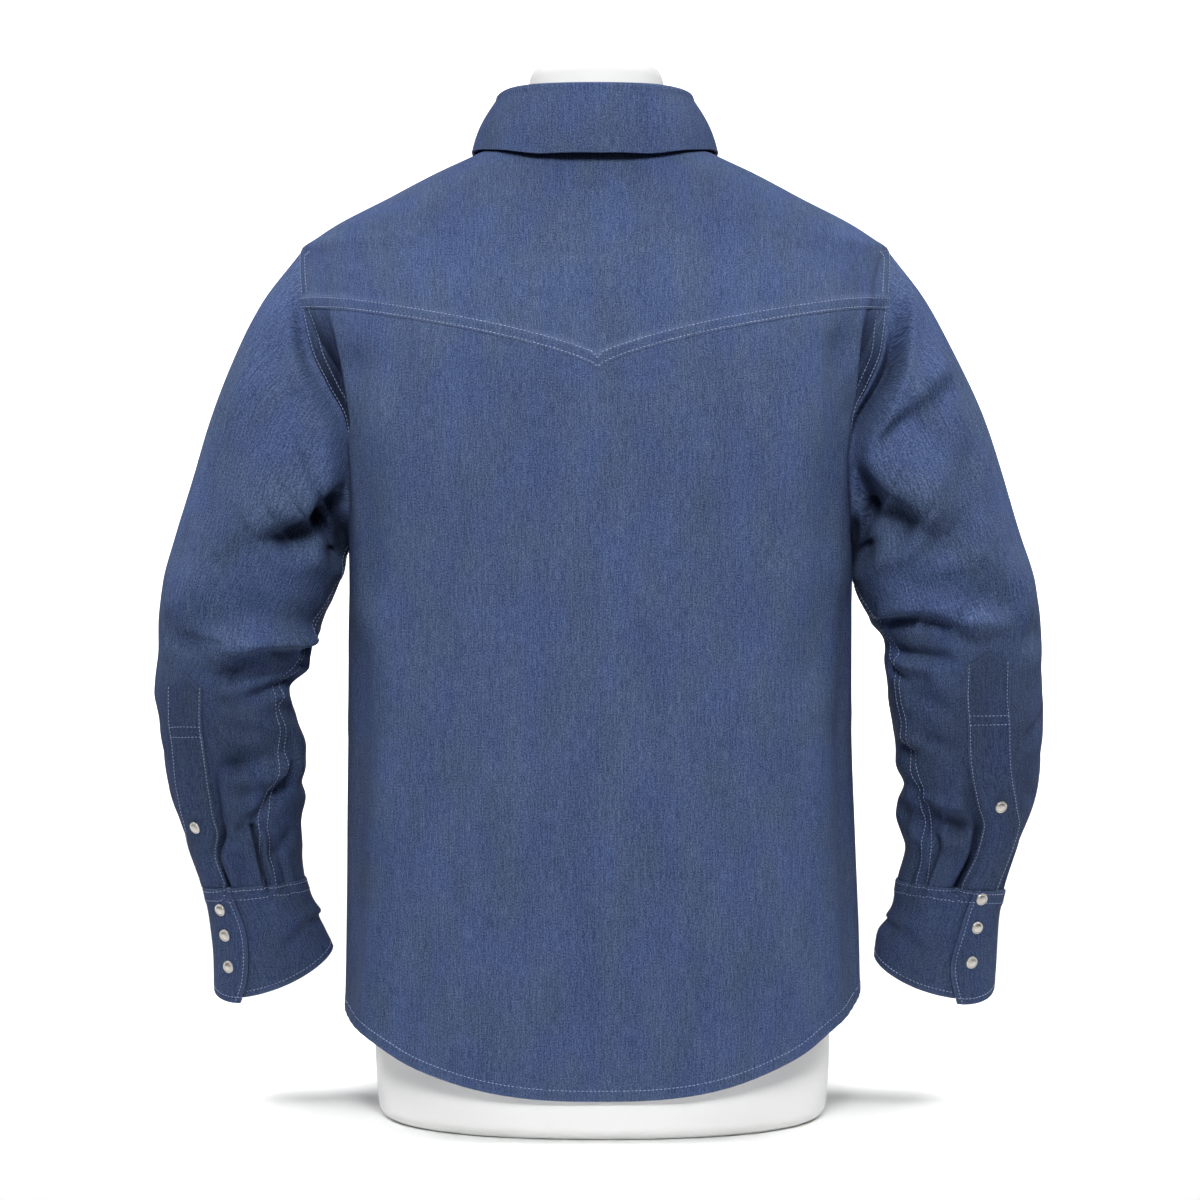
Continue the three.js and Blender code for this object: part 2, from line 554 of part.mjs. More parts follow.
// Gives the panels that meet at a seam one common normal there, and remembers which points are on a seam.
function matchSeams(panels) {
  const meetings = new Map();
  for (const panel of panels) {
    eachEdgePoint(panel, (point, r, c) => {
      const key = seamKey(point);
      if (!meetings.has(key)) meetings.set(key, { sums: {}, names: new Set() });
      const meeting = meetings.get(key);
      meeting.sums[panel.group] ??= new THREE.Vector3();
      meeting.sums[panel.group].add(panel.normals[r][c]);
      meeting.names.add(panel.name);
    });
  }
  for (const panel of panels) {
    panel.seams = [];
    eachEdgePoint(panel, (point, r, c) => {
      const { sums, names } = meetings.get(seamKey(point));
      if (names.size < 2) return;
      const normal = new THREE.Vector3();
      for (const sum of Object.values(sums)) normal.add(sum.clone().normalize());
      panel.normals[r][c].copy(normal.normalize());
      panel.seams.push([r, c]);
    });
  }
}

// Moves a panel's seam edges in, square to the seam, by half the seam gap.
function trimSeams(panel) {
  const lastRow = panel.rows.length - 1;
  const lastColumn = panel.rows[0].length - 1;
  const moves = panel.seams.map(([r, c]) => {
    const point = panel.rows[r][c];
    const rowLine = neighbour(panel, r, c + 1).clone().sub(neighbour(panel, r, c - 1)).normalize();
    const columnLine = neighbour(panel, r + 1, c).clone().sub(neighbour(panel, r - 1, c)).normalize();
    const squareTo = (line, other) => {
      const towards = other.clone().sub(point);
      return towards.addScaledVector(line, -towards.dot(line)).normalize();
    };
    const inward = new THREE.Vector3();
    if (r === 0) inward.add(squareTo(rowLine, panel.rows[1][c]));
    if (r === lastRow) inward.add(squareTo(rowLine, panel.rows[lastRow - 1][c]));
    if (c === 0) inward.add(squareTo(columnLine, panel.rows[r][1]));
    if (c === lastColumn) inward.add(squareTo(columnLine, panel.rows[r][lastColumn - 1]));
    return [point, inward.multiplyScalar(seamGap / 2 + 0.03)];
  });
  for (const [point, move] of moves) point.add(move);
}

// A closed wall: the outer surface, the inner one a thickness below it, and a rim along every open edge.
function wallGeometry({ rows, normals, thickness, closed, mirrored }) {
  const columns = rows[0].length;
  const outer = rows.flat();
  const inner = outer.map((point, i) => point.clone().addScaledVector(normals.flat()[i], -thickness));
  const faces = [];
  for (let r = 0; r + 1 < rows.length; r += 1) {
    for (let c = 0; c < (closed ? columns : columns - 1); c += 1) {
      const a = r * columns + c;
      const b = r * columns + ((c + 1) % columns);
      const d = a + columns;
      const e = b + columns;
      faces.push(mirrored ? [a, b, d] : [a, d, b], mirrored ? [b, e, d] : [b, d, e]);
    }
  }
  const edges = new Map();
  for (const [a, b, c] of faces) {
    for (const [from, to] of [[a, b], [b, c], [c, a]]) {
      if (!edges.delete(`${to},${from}`)) edges.set(`${from},${to}`, [from, to]);
    }
  }
  const shift = outer.length;
  const innerFaces = faces.map(([a, b, c]) => [a + shift, c + shift, b + shift]);
  const rims = [...edges.values()].flatMap(([from, to]) => [
    [to, from, from + shift],
    [to, from + shift, to + shift],
  ]);
  return geometryOf([...outer, ...inner], [...faces, ...innerFaces, ...rims]);
}

function geometryOf(points, faces) {
  const geometry = new THREE.BufferGeometry();
  geometry.setAttribute("position", new THREE.Float32BufferAttribute(points.flatMap((p) => p.toArray()), 3));
  geometry.setIndex(faces.flat());
  geometry.computeVertexNormals();
  return geometry;
}

// A closed solid through a stack of rings that have the same number of points, with flat ends. The rings turn
// anticlockwise seen against the stack's direction.
function stackGeometry(rings) {
  const count = rings[0].length;
  const points = rings.flat();
  const faces = [];
  for (let r = 0; r + 1 < rings.length; r += 1) {
    for (let c = 0; c < count; c += 1) {
      const a = r * count + c;
      const b = r * count + ((c + 1) % count);
      faces.push([a, b, a + count], [b, b + count, a + count]);
    }
  }
  const middleOf = (ring) => ring.reduce((sum, point) => sum.add(point), new THREE.Vector3()).divideScalar(count);
  const first = points.push(middleOf(rings[0])) - 1;
  const last = points.push(middleOf(rings.at(-1))) - 1;
  const lastStart = (rings.length - 1) * count;
  for (let c = 0; c < count; c += 1) {
    const next = (c + 1) % count;
    faces.push([first, next, c], [last, lastStart + c, lastStart + next]);
  }
  return geometryOf(points, faces);
}

const shirt = new THREE.Group();

function addMesh(name, geometry, material) {
  const mesh = new THREE.Mesh(geometry, material);
  mesh.name = name;
  shirt.add(mesh);
}

// Back, yoke and fronts. The left front laps over the right one.
const lapOut = (share) => layerStep * (1 - ease(share / 0.35));
const yoke = joinHalves(yokeRows(-1), yokeRows(1));
const frontLeft = frontRows(1, -bandHalfWidth, lapOut);
const frontRight = frontRows(-1, underlap, none);
const panels = [
  addCloth("back", joinHalves(backRows(-1), backRows(1))),
  addCloth("yoke", yoke),
  addCloth("front_left", frontLeft, { mirrored: true }),
  addCloth("front_right", frontRight),
];

// The neckline from the right front's edge round the back to the left front's edge, before the seams are trimmed.
const clones = (points) => points.map((point) => point.clone());
const neckline = [
  ...clones(frontRight.at(-1)),
  ...clones(yoke.at(-1)).slice(1, -1),
  ...clones(frontLeft.at(-1)).reverse(),
];

// The band down the left front's edge lies on the front and is made from its points.
const bandColumns = 3;
const bandPoints = frontLeft.map((row) => clones(row.slice(0, bandColumns)));
bandPoints.at(-1).forEach((point, c) => point.lerp(bandPoints.at(-2)[c], 0.12)); // clear of the stand

const sleeveSpecs = [
  {
    name: "left", side: 1, rings: leftSleeveRings, folds: leftSleeveFolds, cuffRing: leftCuffRing,
    cuffEdgeTurn: 78, cuffSnapTurn: 54, cuffSnapRings: [15.47, 16.2, 17.2],
    placketTopRing: 9.05, placketPeak: 14, placketTopTurn: 57, placketBottomTurn: 42, placketSnapRing: 13.1,
  },
  {
    name: "right", side: -1, rings: rightSleeveRings, folds: rightSleeveFolds, cuffRing: rightCuffRing,
    cuffEdgeTurn: 87, cuffSnapTurn: 68, cuffSnapRings: [15.2, 16, 17.25],
    placketTopRing: 8.25, placketPeak: 10, placketTopTurn: 79, placketBottomTurn: 56, placketSnapRing: 12.5,
  },
];
const sleeves = Object.fromEntries(sleeveSpecs.map((spec) => [spec.side, makeSleeve(spec)]));

for (const spec of sleeveSpecs) {
  const rows = [];
  for (let r = 0; r <= sleeveRows; r += 1) {
    const at = (r / sleeveRows) * spec.cuffRing;
    rows.push(Array.from({ length: armholeSteps }, (_, c) => sleeves[spec.side].point(at, (c * 360) / armholeSteps)));
  }
  const options = { closed: true, mirrored: spec.side < 0, group: "sleeve" };
  panels.push(addCloth(`sleeve_${spec.name}`, rows, options));
}

for (const panel of panels) findNormals(panel);
matchSeams(panels);
for (const panel of panels) {
  if (panel.closed) {
    for (const point of panel.rows[0]) point.x += panel.mirrored ? -seamGap : seamGap;
  } else {
    trimSeams(panel);
  }
}

// A cuff is a doubled strip wound once round the wrist, whose end laps over its start.
function cuffOut(travelled) {
  return cuffStandOut + (doubledThickness + layerGap) * ease((travelled - 310) / 45);
}

function cuffRows(spec) {
  const rows = [];
  for (let r = 0; r <= cuffRowCount; r += 1) {
    const at = mix(spec.cuffRing + cuffGapRings, spec.rings.length - 1, r / cuffRowCount);
    const row = [];
    for (let c = 0; c <= cuffColumns; c += 1) {
      const travelled = (c / cuffColumns) * (360 + cuffLap);
      row.push(sleeves[spec.side].point(at, spec.cuffEdgeTurn - cuffLap + travelled, cuffOut(travelled)));
    }
    rows.push(row);
  }
  return rows;
}

// The pointed band over the sleeve's slit follows the sleeve's own rows.
function sleevePlacketRows(spec) {
  const rows = [];
  const sleeve = sleeves[spec.side];
  const stations = Array.from({ length: sleeveRows + 1 }, (_, r) => (r / sleeveRows) * spec.cuffRing);
  for (const at of [spec.placketTopRing, ...stations.filter((station) => station > spec.placketTopRing + 0.2)]) {
    const row = [];
    for (let c = -2; c <= 2; c += 1) {
      const turn = placketTurnAt(spec, at) + (((c / 2) * sleevePlacketHalfWidth) / sleeve.radiusAt(at)) / degrees;
      const peak = at === spec.placketTopRing ? (spec.placketPeak / ringLength) * (1 - Math.abs(c) / 2) : 0;
      const end = at === spec.cuffRing ? cuffGapRings : 0;
      row.push(sleeve.point(at - peak - end, turn, placketOut));
    }
    rows.push(row);
  }
  return rows;
}

function snapGeometry(centre, direction) {
  const turn = new THREE.Quaternion().setFromUnitVectors(new THREE.Vector3(0, 0, 1), direction);
  const rings = snapProfile.map(({ radius, height }) =>
    Array.from({ length: snapSides }, (_, i) => {
      const angle = (i * 2 * Math.PI) / snapSides;
      const point = new THREE.Vector3(radius * Math.cos(angle), radius * Math.sin(angle), height + snapGap);
      return point.applyQuaternion(turn).add(centre);
    }),
  );
  return stackGeometry(rings);
}

for (const spec of sleeveSpecs) {
  const sleeve = sleeves[spec.side];
  const mirrored = spec.side < 0;
  const cuff = addCloth(`cuff_${spec.name}`, cuffRows(spec), { thickness: doubledThickness, mirrored });
  const placket = addCloth(`sleeve_placket_${spec.name}`, sleevePlacketRows(spec), { mirrored });
  findNormals(cuff);
  findNormals(placket);
  const snapTurn = placketTurnAt(spec, spec.placketSnapRing);
  const addSnap = (name, at, turn, out) =>
    addMesh(name, snapGeometry(sleeve.point(at, turn, out), sleeve.outwards(at, turn, out)), snapMetal);
  addSnap(`snap_placket_${spec.name}`, spec.placketSnapRing, snapTurn, placketOut);
  spec.cuffSnapRings.forEach((at, i) => {
    addSnap(`snap_cuff_${spec.name}_${i + 1}`, at, spec.cuffSnapTurn, cuffOut(360));
  });
}

// The band down the front.
const frontBand = addCloth("front_placket", bandPoints, { mirrored: true });
findNormals(frontBand);
frontBand.rows.forEach((row, r) =>
  row.forEach((point, c) => point.addScaledVector(frontBand.normals[r][c], layerStep)),
);

// The collar stand rises from the neckline. Its left end laps over its right end.
const upwards = new THREE.Vector3(0, 0, 1);
const neckMiddle = new THREE.Vector3(torso.lean(neckSideZ), 0, 0);
const neckLines = neckline.map((_, i) => {
  const before = neckline[Math.max(0, i - 1)];
  return neckline[Math.min(neckline.length - 1, i + 1)].clone().sub(before);
});
const neckOutwards = neckLines.map((line) => upwards.clone().cross(line).setZ(0).normalize());
// How far the stand is lifted to clear the neckline, which is more where the neckline is steep.
const neckLifts = neckLines.map((line) => (seamGap * line.length()) / Math.max(1, Math.hypot(line.x, line.y)));
const lastNeck = neckline.length - 1;

function standHeightAt(i) {
  const fromEnd = Math.min(i, lastNeck - i);
  if (fromEnd === 0) return standEndHeight;
  return mix(standFrontHeight, standBackHeight, ease(fromEnd / (lastNeck / 2)));
}

function standPoint(i, share) {
  const lap = (doubledThickness - clothThickness) * (1 - ease((lastNeck - i - 2) / 3));
  const out = standOut + (i > lastNeck / 2 ? lap : 0) - standLean * share;
  const point = neckline[i].clone().addScaledVector(neckOutwards[i], out);
  point.z += neckLifts[i] + standHeightAt(i) * share;
  return point;
}

const standRows = [0, 0.5, 1].map((share) => neckline.map((_, i) => standPoint(i, share)));
const stand = addCloth("collar_stand", standRows, { thickness: doubledThickness });
findNormals(stand);
stand.normals[0] = neckOutwards;

// The collar rolls over the stand's top edge and falls outside it to its pointed edge.
const collarEdgeCurves = curvesThrough(collarEdge, "turn");
const collarStart = 2;

function collarBase(i) {
  const end = i < collarStart ? 0 : lastNeck;
  const isEnd = i === collarStart - 1 || i === lastNeck - collarStart + 1;
  const inner = Math.abs(end - collarStart);
  if (!isEnd) return { top: standPoint(i, 1), outwards: neckOutwards[i] };
  const top = standPoint(inner, 1).lerp(standPoint(Math.abs(end - collarStart + 1), 1), 0.75);
  return { top, outwards: neckOutwards[inner] };
}

const collarBases = [];
for (let i = collarStart - 1; i <= lastNeck - collarStart + 1; i += 1) collarBases.push(collarBase(i));
const baseTurn = ({ top }) => Math.atan2(top.x - neckMiddle.x, top.y) / degrees;
const lastEdgeTurn = collarEdge.at(-1).turn;

function collarColumn(base) {
  const { top, outwards } = base;
  const turn = baseTurn(base);
  const endTurn = Math.abs(baseTurn(turn < 0 ? collarBases[0] : collarBases.at(-1)));
  const beyondSide = Math.max(0, Math.abs(turn) - 90) / (endTurn - 90);
  const edgeTurn = Math.min(Math.abs(turn), 90) + (lastEdgeTurn - 90) * beyondSide;
  const reach = collarEdgeCurves.reach(edgeTurn);
  const edge = neckMiddle.clone();
  edge.x += Math.sign(turn) * reach * Math.sin(edgeTurn * degrees);
  edge.y += reach * Math.cos(edgeTurn * degrees);
  edge.z = collarEdgeCurves.z(edgeTurn);
  const column = collarRoll.map(({ out, up }) => top.clone().addScaledVector(outwards, out).addScaledVector(upwards, up));
  const rolled = column.at(-1);
  for (const share of collarShares) {
    const point = rolled.clone().lerp(edge, share);
    column.push(point.addScaledVector(outwards, collarBow * Math.sin(Math.PI * share)));
  }
  return column;
}

const collarColumns = collarBases.map(collarColumn);
const collarRows = collarColumns[0].map((_, r) => collarColumns.map((column) => column[r]));
findNormals(addCloth("collar", collarRows, { thickness: doubledThickness }));

for (const piece of pieces) addMesh(piece.name, wallGeometry(piece), denim);

// Snaps down the front and one on the stand.
for (let i = 0; i < frontSnapCount; i += 1) {
  const z = mix(frontSnapTopZ, frontSnapBottomZ, i / (frontSnapCount - 1));
  const centre = torsoPoint(180, z, 2 * layerStep);
  const slope = torsoPoint(180, z + 5).sub(torsoPoint(180, z - 5));
  const direction = new THREE.Vector3(0, -slope.z, slope.y).normalize();
  addMesh(`snap_front_${i + 1}`, snapGeometry(centre, direction), snapMetal);
}
const standSnapColumn = lastNeck - 1;
const standSnap = standPoint(standSnapColumn, 0.5);
addMesh("snap_stand", snapGeometry(standSnap, stand.normals[1][standSnapColumn]), snapMetal);

// The form.
const formStack = formRings.map(({ z, halfWidth, back, front, square, lean }) =>
  Array.from({ length: formColumns }, (_, c) => {
    const angle = (c * 2 * Math.PI) / formColumns;
    const reach = (Math.abs(Math.cos(angle)) ** square + Math.abs(Math.sin(angle)) ** square) ** (-1 / square);
    const depth = Math.sin(angle) > 0 ? back : front;
    return new THREE.Vector3(lean + halfWidth * reach * Math.cos(angle), depth * reach * Math.sin(angle), z);
  }),
);
addMesh("dress_form", stackGeometry(formStack), formPlastic);

export default shirt;
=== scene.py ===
import math

import bpy
import numpy as np
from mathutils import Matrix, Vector


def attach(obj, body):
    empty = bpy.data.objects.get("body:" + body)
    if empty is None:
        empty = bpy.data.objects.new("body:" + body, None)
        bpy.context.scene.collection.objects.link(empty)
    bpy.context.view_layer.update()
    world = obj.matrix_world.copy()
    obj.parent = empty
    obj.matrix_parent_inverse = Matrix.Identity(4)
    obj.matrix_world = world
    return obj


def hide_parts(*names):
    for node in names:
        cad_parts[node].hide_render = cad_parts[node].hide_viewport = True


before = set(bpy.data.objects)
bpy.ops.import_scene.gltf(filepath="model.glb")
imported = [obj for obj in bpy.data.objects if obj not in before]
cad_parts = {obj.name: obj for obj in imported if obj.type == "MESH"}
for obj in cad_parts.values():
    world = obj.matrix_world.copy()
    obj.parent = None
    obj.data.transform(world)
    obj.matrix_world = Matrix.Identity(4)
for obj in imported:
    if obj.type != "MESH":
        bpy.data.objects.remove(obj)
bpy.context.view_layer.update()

mm = 0.001

# Everything below is worked out in millimetres, in the same frame as the solids: +Z up, the shirt's front
# faces -Y, and the wearer's left is +X. A grid is an array of rows x columns x 3.


# Camera, light and floor

studio = {
    "cameraDistance": 2000, "cameraHeight": 410, "lens": 75,
    "keyPower": 3.25, "keySpread": 36, "topPower": 1.2, "wallPower": 30, "floorPower": 8,
    "worldStrength": 0.08, "sweepHalfWidth": 1.7, "floorColour": "#fbfbfb",
}


def linear(hexColour):
    channels = [int(hexColour[i:i + 2], 16) / 255 for i in (1, 3, 5)]
    return [c / 12.92 if c <= 0.04045 else ((c + 0.055) / 1.055) ** 2.4 for c in channels] + [1.0]


def addNode(tree, kind, inputs=None, out=None, stops=(), **settings):
    # adds a node with its settings, links and ramp stops, and gives the output that out names
    made = tree.nodes.new(kind)
    for name, value in settings.items():
        setattr(made, name, value)
    for name, value in (inputs or {}).items():
        if isinstance(value, bpy.types.NodeSocket):
            tree.links.new(value, made.inputs[name])
        else:
            made.inputs[name].default_value = value
    for i, (place, colour) in enumerate(stops):
        stop = made.color_ramp.elements[i] if i < 2 else made.color_ramp.elements.new(place)
        stop.position = place
        stop.color = linear(colour) if isinstance(colour, str) else (colour, colour, colour, 1)
    return made if out is None else made.outputs[out]


def addLamp(name, power, size, place, aim, spread=180):
    data = bpy.data.lights.new(name, "AREA")
    data.energy = power
    data.size = size
    data.spread = math.radians(spread)
    lamp = bpy.data.objects.new(name, data)
    lamp.location = place
    lamp.rotation_euler = (Vector(aim) - Vector(place)).to_track_quat("-Z", "Y").to_euler()
    bpy.context.scene.collection.objects.link(lamp)


def buildStudio():
    cameraData = bpy.data.cameras.new("photoCamera")
    cameraData.lens = studio["lens"]
    cameraData.sensor_width = 36
    camera = bpy.data.objects.new("photoCamera", cameraData)
    camera.location = (0, studio["cameraDistance"] * mm, studio["cameraHeight"] * mm)
    camera.rotation_euler = (math.radians(90), 0, math.radians(180))
    bpy.context.scene.collection.objects.link(camera)
    bpy.context.scene.camera = camera

    addLamp("key", studio["keyPower"], 0.7, (0.02, 2.0, 1.65), (0, 0.1, 0.49), studio["keySpread"])
    addLamp("top", studio["topPower"], 1.0, (0, 0.5, 2.3), (0, -0.1, 0), 90)
    # these light only the sweep behind and below
    addLamp("wallLeft", studio["wallPower"], 1.2, (1.3, -0.9, 1.5), (0.3, -3.5, 0.6), 100)
    addLamp("wallRight", studio["wallPower"], 1.2, (-1.3, -0.9, 1.5), (-0.3, -3.5, 0.6), 100)
    addLamp("floorLeft", studio["floorPower"], 0.8, (1.0, -0.1, 1.5), (0.45, -0.5, 0), 90)
    addLamp("floorRight", studio["floorPower"], 0.8, (-1.0, -0.1, 1.5), (-0.45, -0.5, 0), 90)

    bpy.context.scene.view_settings.view_transform = "Standard"

    world = bpy.data.worlds.new("softStudio")
    bpy.context.scene.world = world
    world.use_nodes = True
    background = world.node_tree.nodes["Background"]
    background.inputs["Color"].default_value = linear("#fbfbfb")
    background.inputs["Strength"].default_value = studio["worldStrength"]

    # a pale sweep: floor, a wide bend, and a wall behind
    profile = [(0.5, 0), (-2.4, 0)]
    bend = np.linspace(0.1, math.pi / 2, 12)
    profile += [(-2.4 - 0.9 * math.sin(a), 0.9 - 0.9 * math.cos(a)) for a in bend]
    profile += [(-3.3, 4.0)]
    points = [(x, y, z) for y, z in profile for x in (-studio["sweepHalfWidth"], studio["sweepHalfWidth"])]
    faces = [(2 * i, 2 * i + 1, 2 * i + 3, 2 * i + 2) for i in range(len(profile) - 1)]
    mesh = bpy.data.meshes.new("sweep")
    mesh.from_pydata(points, [], faces)
    mesh.polygons.foreach_set("use_smooth", [True] * len(faces))
    sweep = bpy.data.objects.new("sweep", mesh)
    bpy.context.scene.collection.objects.link(sweep)
    paper = bpy.data.materials.new("paperSweep")  # matt studio paper: no gloss at all
    paper.use_nodes = True
    shader = paper.node_tree.nodes["Principled BSDF"]
    shader.inputs["Base Color"].default_value = linear(studio["floorColour"])
    shader.inputs["Roughness"].default_value = 1.0
    shader.inputs["Specular IOR Level"].default_value = 0.0
    mesh.materials.append(paper)


buildStudio()
print("studio built")


# Curves and small helpers

def table(columns, *rows):
    return {name: np.array([row[i] for row in rows], float) for i, name in enumerate(columns.split())}


def curve(x, y):
    # a smooth curve through points that never overshoots them
    slopes = np.diff(y) / np.diff(x)
    tangents = np.concatenate([slopes[:1], np.zeros(len(x) - 2), slopes[-1:]])
    before, after = slopes[:-1], slopes[1:]
    same = before * after > 0
    tangents[1:-1][same] = (2 * before * after)[same] / (before + after)[same]

    def at(value):
        value = np.clip(np.asarray(value, float), x[0], x[-1])
        i = np.clip(np.searchsorted(x, value, side="right") - 1, 0, len(x) - 2)
        span = x[i + 1] - x[i]
        t = (value - x[i]) / span
        start = (1 + 2 * t) * (1 - t) ** 2 * y[i] + t * (1 - t) ** 2 * span * tangents[i]
        return start + t ** 2 * (3 - 2 * t) * y[i + 1] - t ** 2 * (1 - t) * span * tangents[i + 1]

    return at


def curves(rows, against):
    return {name: curve(rows[against], rows[name]) for name in rows if name != against}


def mix(a, b, t):
    return a + (b - a) * t


def ease(t):
    t = np.clip(t, 0, 1)
    return t * t * (3 - 2 * t)


def nearestOnFold(x, y, x0, y0, x1, y1, turnLength):
    nearY = y - turnLength * np.round((y - (y0 + y1) / 2) / turnLength)
    squared = (x1 - x0) ** 2 + (y1 - y0) ** 2
    share = np.clip(((x - x0) * (x1 - x0) + (nearY - y0) * (y1 - y0)) / squared, 0, 1)
    return share, x - x0 - share * (x1 - x0), nearY - y0 - share * (y1 - y0)


def foldDepth(folds, along, around, x, y):
    # x and y are distances along and round the cloth, and along and around give them for a fold's ends
    total = np.zeros(np.broadcast(x, y).shape)
    for start, turn, end, endTurn, width, depth in folds:
        share, dx, dy = nearestOnFold(
            x, y, along(start), around(turn), along(end), around(endTurn), around(360))
        away = np.hypot(dx, dy) / width
        total += depth * (np.exp(-away ** 2) - 0.3 * np.exp(-(away - 2) ** 2))
    return total


def creaseDepth(creases, along, around, x, y):
    # a crease steps in by its height over its width, on its side further along, and fades over its reach
    total = np.zeros(np.broadcast(x, y).shape)
    for start, turn, end, endTurn, width, height, reach in creases:
        share, dx, dy = nearestOnFold(
            x, y, along(start), around(turn), along(end), around(endTurn), around(360))
        runX, runY = along(end) - along(start), around(endTurn) - around(turn)
        past = (dx * abs(runY) - dy * runX * np.sign(runY)) / np.hypot(runX, runY)
        fade = np.exp(-(dx ** 2 + dy ** 2) / reach ** 2) * (1 - 0.75 * (2 * share - 1) ** 4)
        total -= height * np.tanh(past / width) * fade
    return total


def point(x, y, z):
    return np.stack(np.broadcast_arrays(x, y, z), axis=-1).astype(float)


# The body of the shirt

body = {
    "rings": table(
        "z halfWidth back front squareBack squareFront lean", (20, 204, 117, 114, 3.0, 2.6, -2),
        (100, 203, 117, 116, 3.0, 2.6, -2), (220, 200, 115, 116, 3.0, 2.6, -1),
        (340, 198, 115, 119, 3.1, 2.6, 0), (456, 198, 119, 123, 3.5, 2.6, 0),
        (530, 202, 122, 123, 3.9, 2.7, 1), (590, 208, 120, 115, 3.3, 2.6, 2),
        (640, 226, 112, 103, 2.6, 2.4, 4), (688, 235, 98, 89, 2.1, 2.1, 4),
        (697, 223, 95.5, 86.5, 2.16, 2.14, 4), (707, 207, 92.5, 84, 2.28, 2.24, 4),
        (726, 168, 87, 79, 2.55, 2.45, 4), (745, 129, 82, 74, 3.0, 2.7, 4),
        (764, 90, 77.5, 69.5, 2.7, 2.5, 4), (776, 72, 75, 66, 2.3, 2.3, 4)),
    "armhole": table(
        "z halfWidth", (456, 198), (485, 194), (520, 193), (550, 197), (578, 211), (605, 223), (640, 229.5),
        (668, 233), (688, 235)),
    "shoulderZ": 688, "underarmZ": 456, "armholeBack": 54, "armholeFront": 50, "armholeScoop": 0.16,
    "hemBackZ": 32, "hemFrontZ": 46, "hemLeftZ": 88, "hemRightZ": 101, "hemCurve": 2.6,
    "yokeTipZ": 584, "yokeSeamStep": 4, "yokeCurve": 0.74,
    "neckBackZ": 768, "neckSideZ": 774, "neckFrontZ": 712,
    "bandHalfWidth": 17.5, "underlap": 15, "lapStep": 1.6,
    # z and degrees from the centre back at a fold's start and end, its width and its depth
    "folds": [
        (600, -52, 360, -48, 16, -4), (585, 52, 420, 50, 15, -3), (400, -60, 120, -62, 20, -4),
        (360, 58, 110, 64, 20, -4), (560, 132, 300, 128, 22, -5), (560, -132, 320, -130, 22, -5),
        (330, 150, 90, 146, 20, -4), (340, -150, 90, -148, 20, -4),
    ],
    "fineFolds": [
        (560, 20, 300, 17, 14, -1.1), (470, -22, 180, -26, 17, -1.2), (330, 8, 90, 5, 18, -1.0),
        (520, -8, 380, -5, 12, -0.7), (250, 36, 80, 41, 13, -1.3), (240, -42, 90, -47, 13, -1.4),
        (640, 70, 560, 60, 9, -1.6), (635, -66, 555, -57, 9, -1.8), (500, 75, 330, 80, 10, -1.6),
        (500, -74, 340, -79, 10, -1.5), (430, 100, 200, 104, 12, -1.8), (430, -101, 190, -106, 12, -1.8),
        (520, 155, 380, 160, 14, -1.3), (500, -157, 350, -160, 14, -1.3), (650, 140, 560, 128, 12, -2.0),
        (650, -140, 560, -128, 12, -2.0), (250, 120, 80, 116, 14, -1.6), (250, -122, 80, -118, 14, -1.6),
        (700, 28, 690, 50, 15, -1.0), (700, -30, 690, -48, 15, -1.0),
    ],
    "foldRadius": 165,
    # behind, the cloth falls in beyond an edge: its distance from the middle at 550 mm up and its lean, the
    # hollow's top and bottom, and how deep it is
    "hollow": {"left": (191, 0.15, 648, 536, 20), "right": (197, 0.12, 650, 536, 22)},
    # beside each armhole: height and its spread, distance from the seam and its spread, and how far out
    "armholeFolds": {
        "left": [(500, 30, 10, 9, -3)], "right": [(655, 26, 17, 6, -3), (500, 30, 10, 9, -3)],
        "front": [(590, 38, 10, 8, -9), (580, 45, 25, 11, 3)],
    },
}
torso = curves(body["rings"], "z")
armholeHalfWidth = curve(body["armhole"]["z"], body["armhole"]["halfWidth"])
armholeSteps = 26


def torsoFolds(turn, z):
    around = lambda degrees: np.radians(degrees) * body["foldRadius"]
    main = foldDepth(body["folds"] + body["fineFolds"], lambda value: value, around, z, around(turn))
    # the slow unevenness of hung cotton
    drift = np.sin(z / 47 + 1.3 * np.sin(np.radians(turn) * 3)) * np.sin(np.radians(turn) * 7 + z / 130)
    return main + 0.45 * drift


def torsoPoint(turn, z, out=0.0):
    turn, z = np.broadcast_arrays(np.asarray(turn, float), np.asarray(z, float))
    sine, cosine = np.sin(np.radians(turn)), np.cos(np.radians(turn))
    square = np.where(cosine >= 0, torso["squareBack"](z), torso["squareFront"](z))
    reach = (np.abs(sine) ** square + np.abs(cosine) ** square) ** (-1 / square)
    move = out + torsoFolds(turn, z)
    depth = np.where(cosine >= 0, torso["back"](z), torso["front"](z)) + move
    return point(torso["lean"](z) + (torso["halfWidth"](z) + move) * reach * sine, depth * reach * cosine, z)


def turnAtDepth(y, z):
    square = torso["squareBack"](z) if y >= 0 else torso["squareFront"](z)
    cosine = y / (torso["back"](z) if y >= 0 else torso["front"](z))
    return np.degrees(np.arctan2((1 - abs(cosine) ** square) ** (1 / square), cosine))


def turnAtFrontX(x, z):
    square = torso["squareFront"](z)
    sine = np.clip(x / torso["halfWidth"](z), -1, 1)
    return np.degrees(np.arctan2(sine, -((1 - np.abs(sine) ** square) ** (1 / square))))


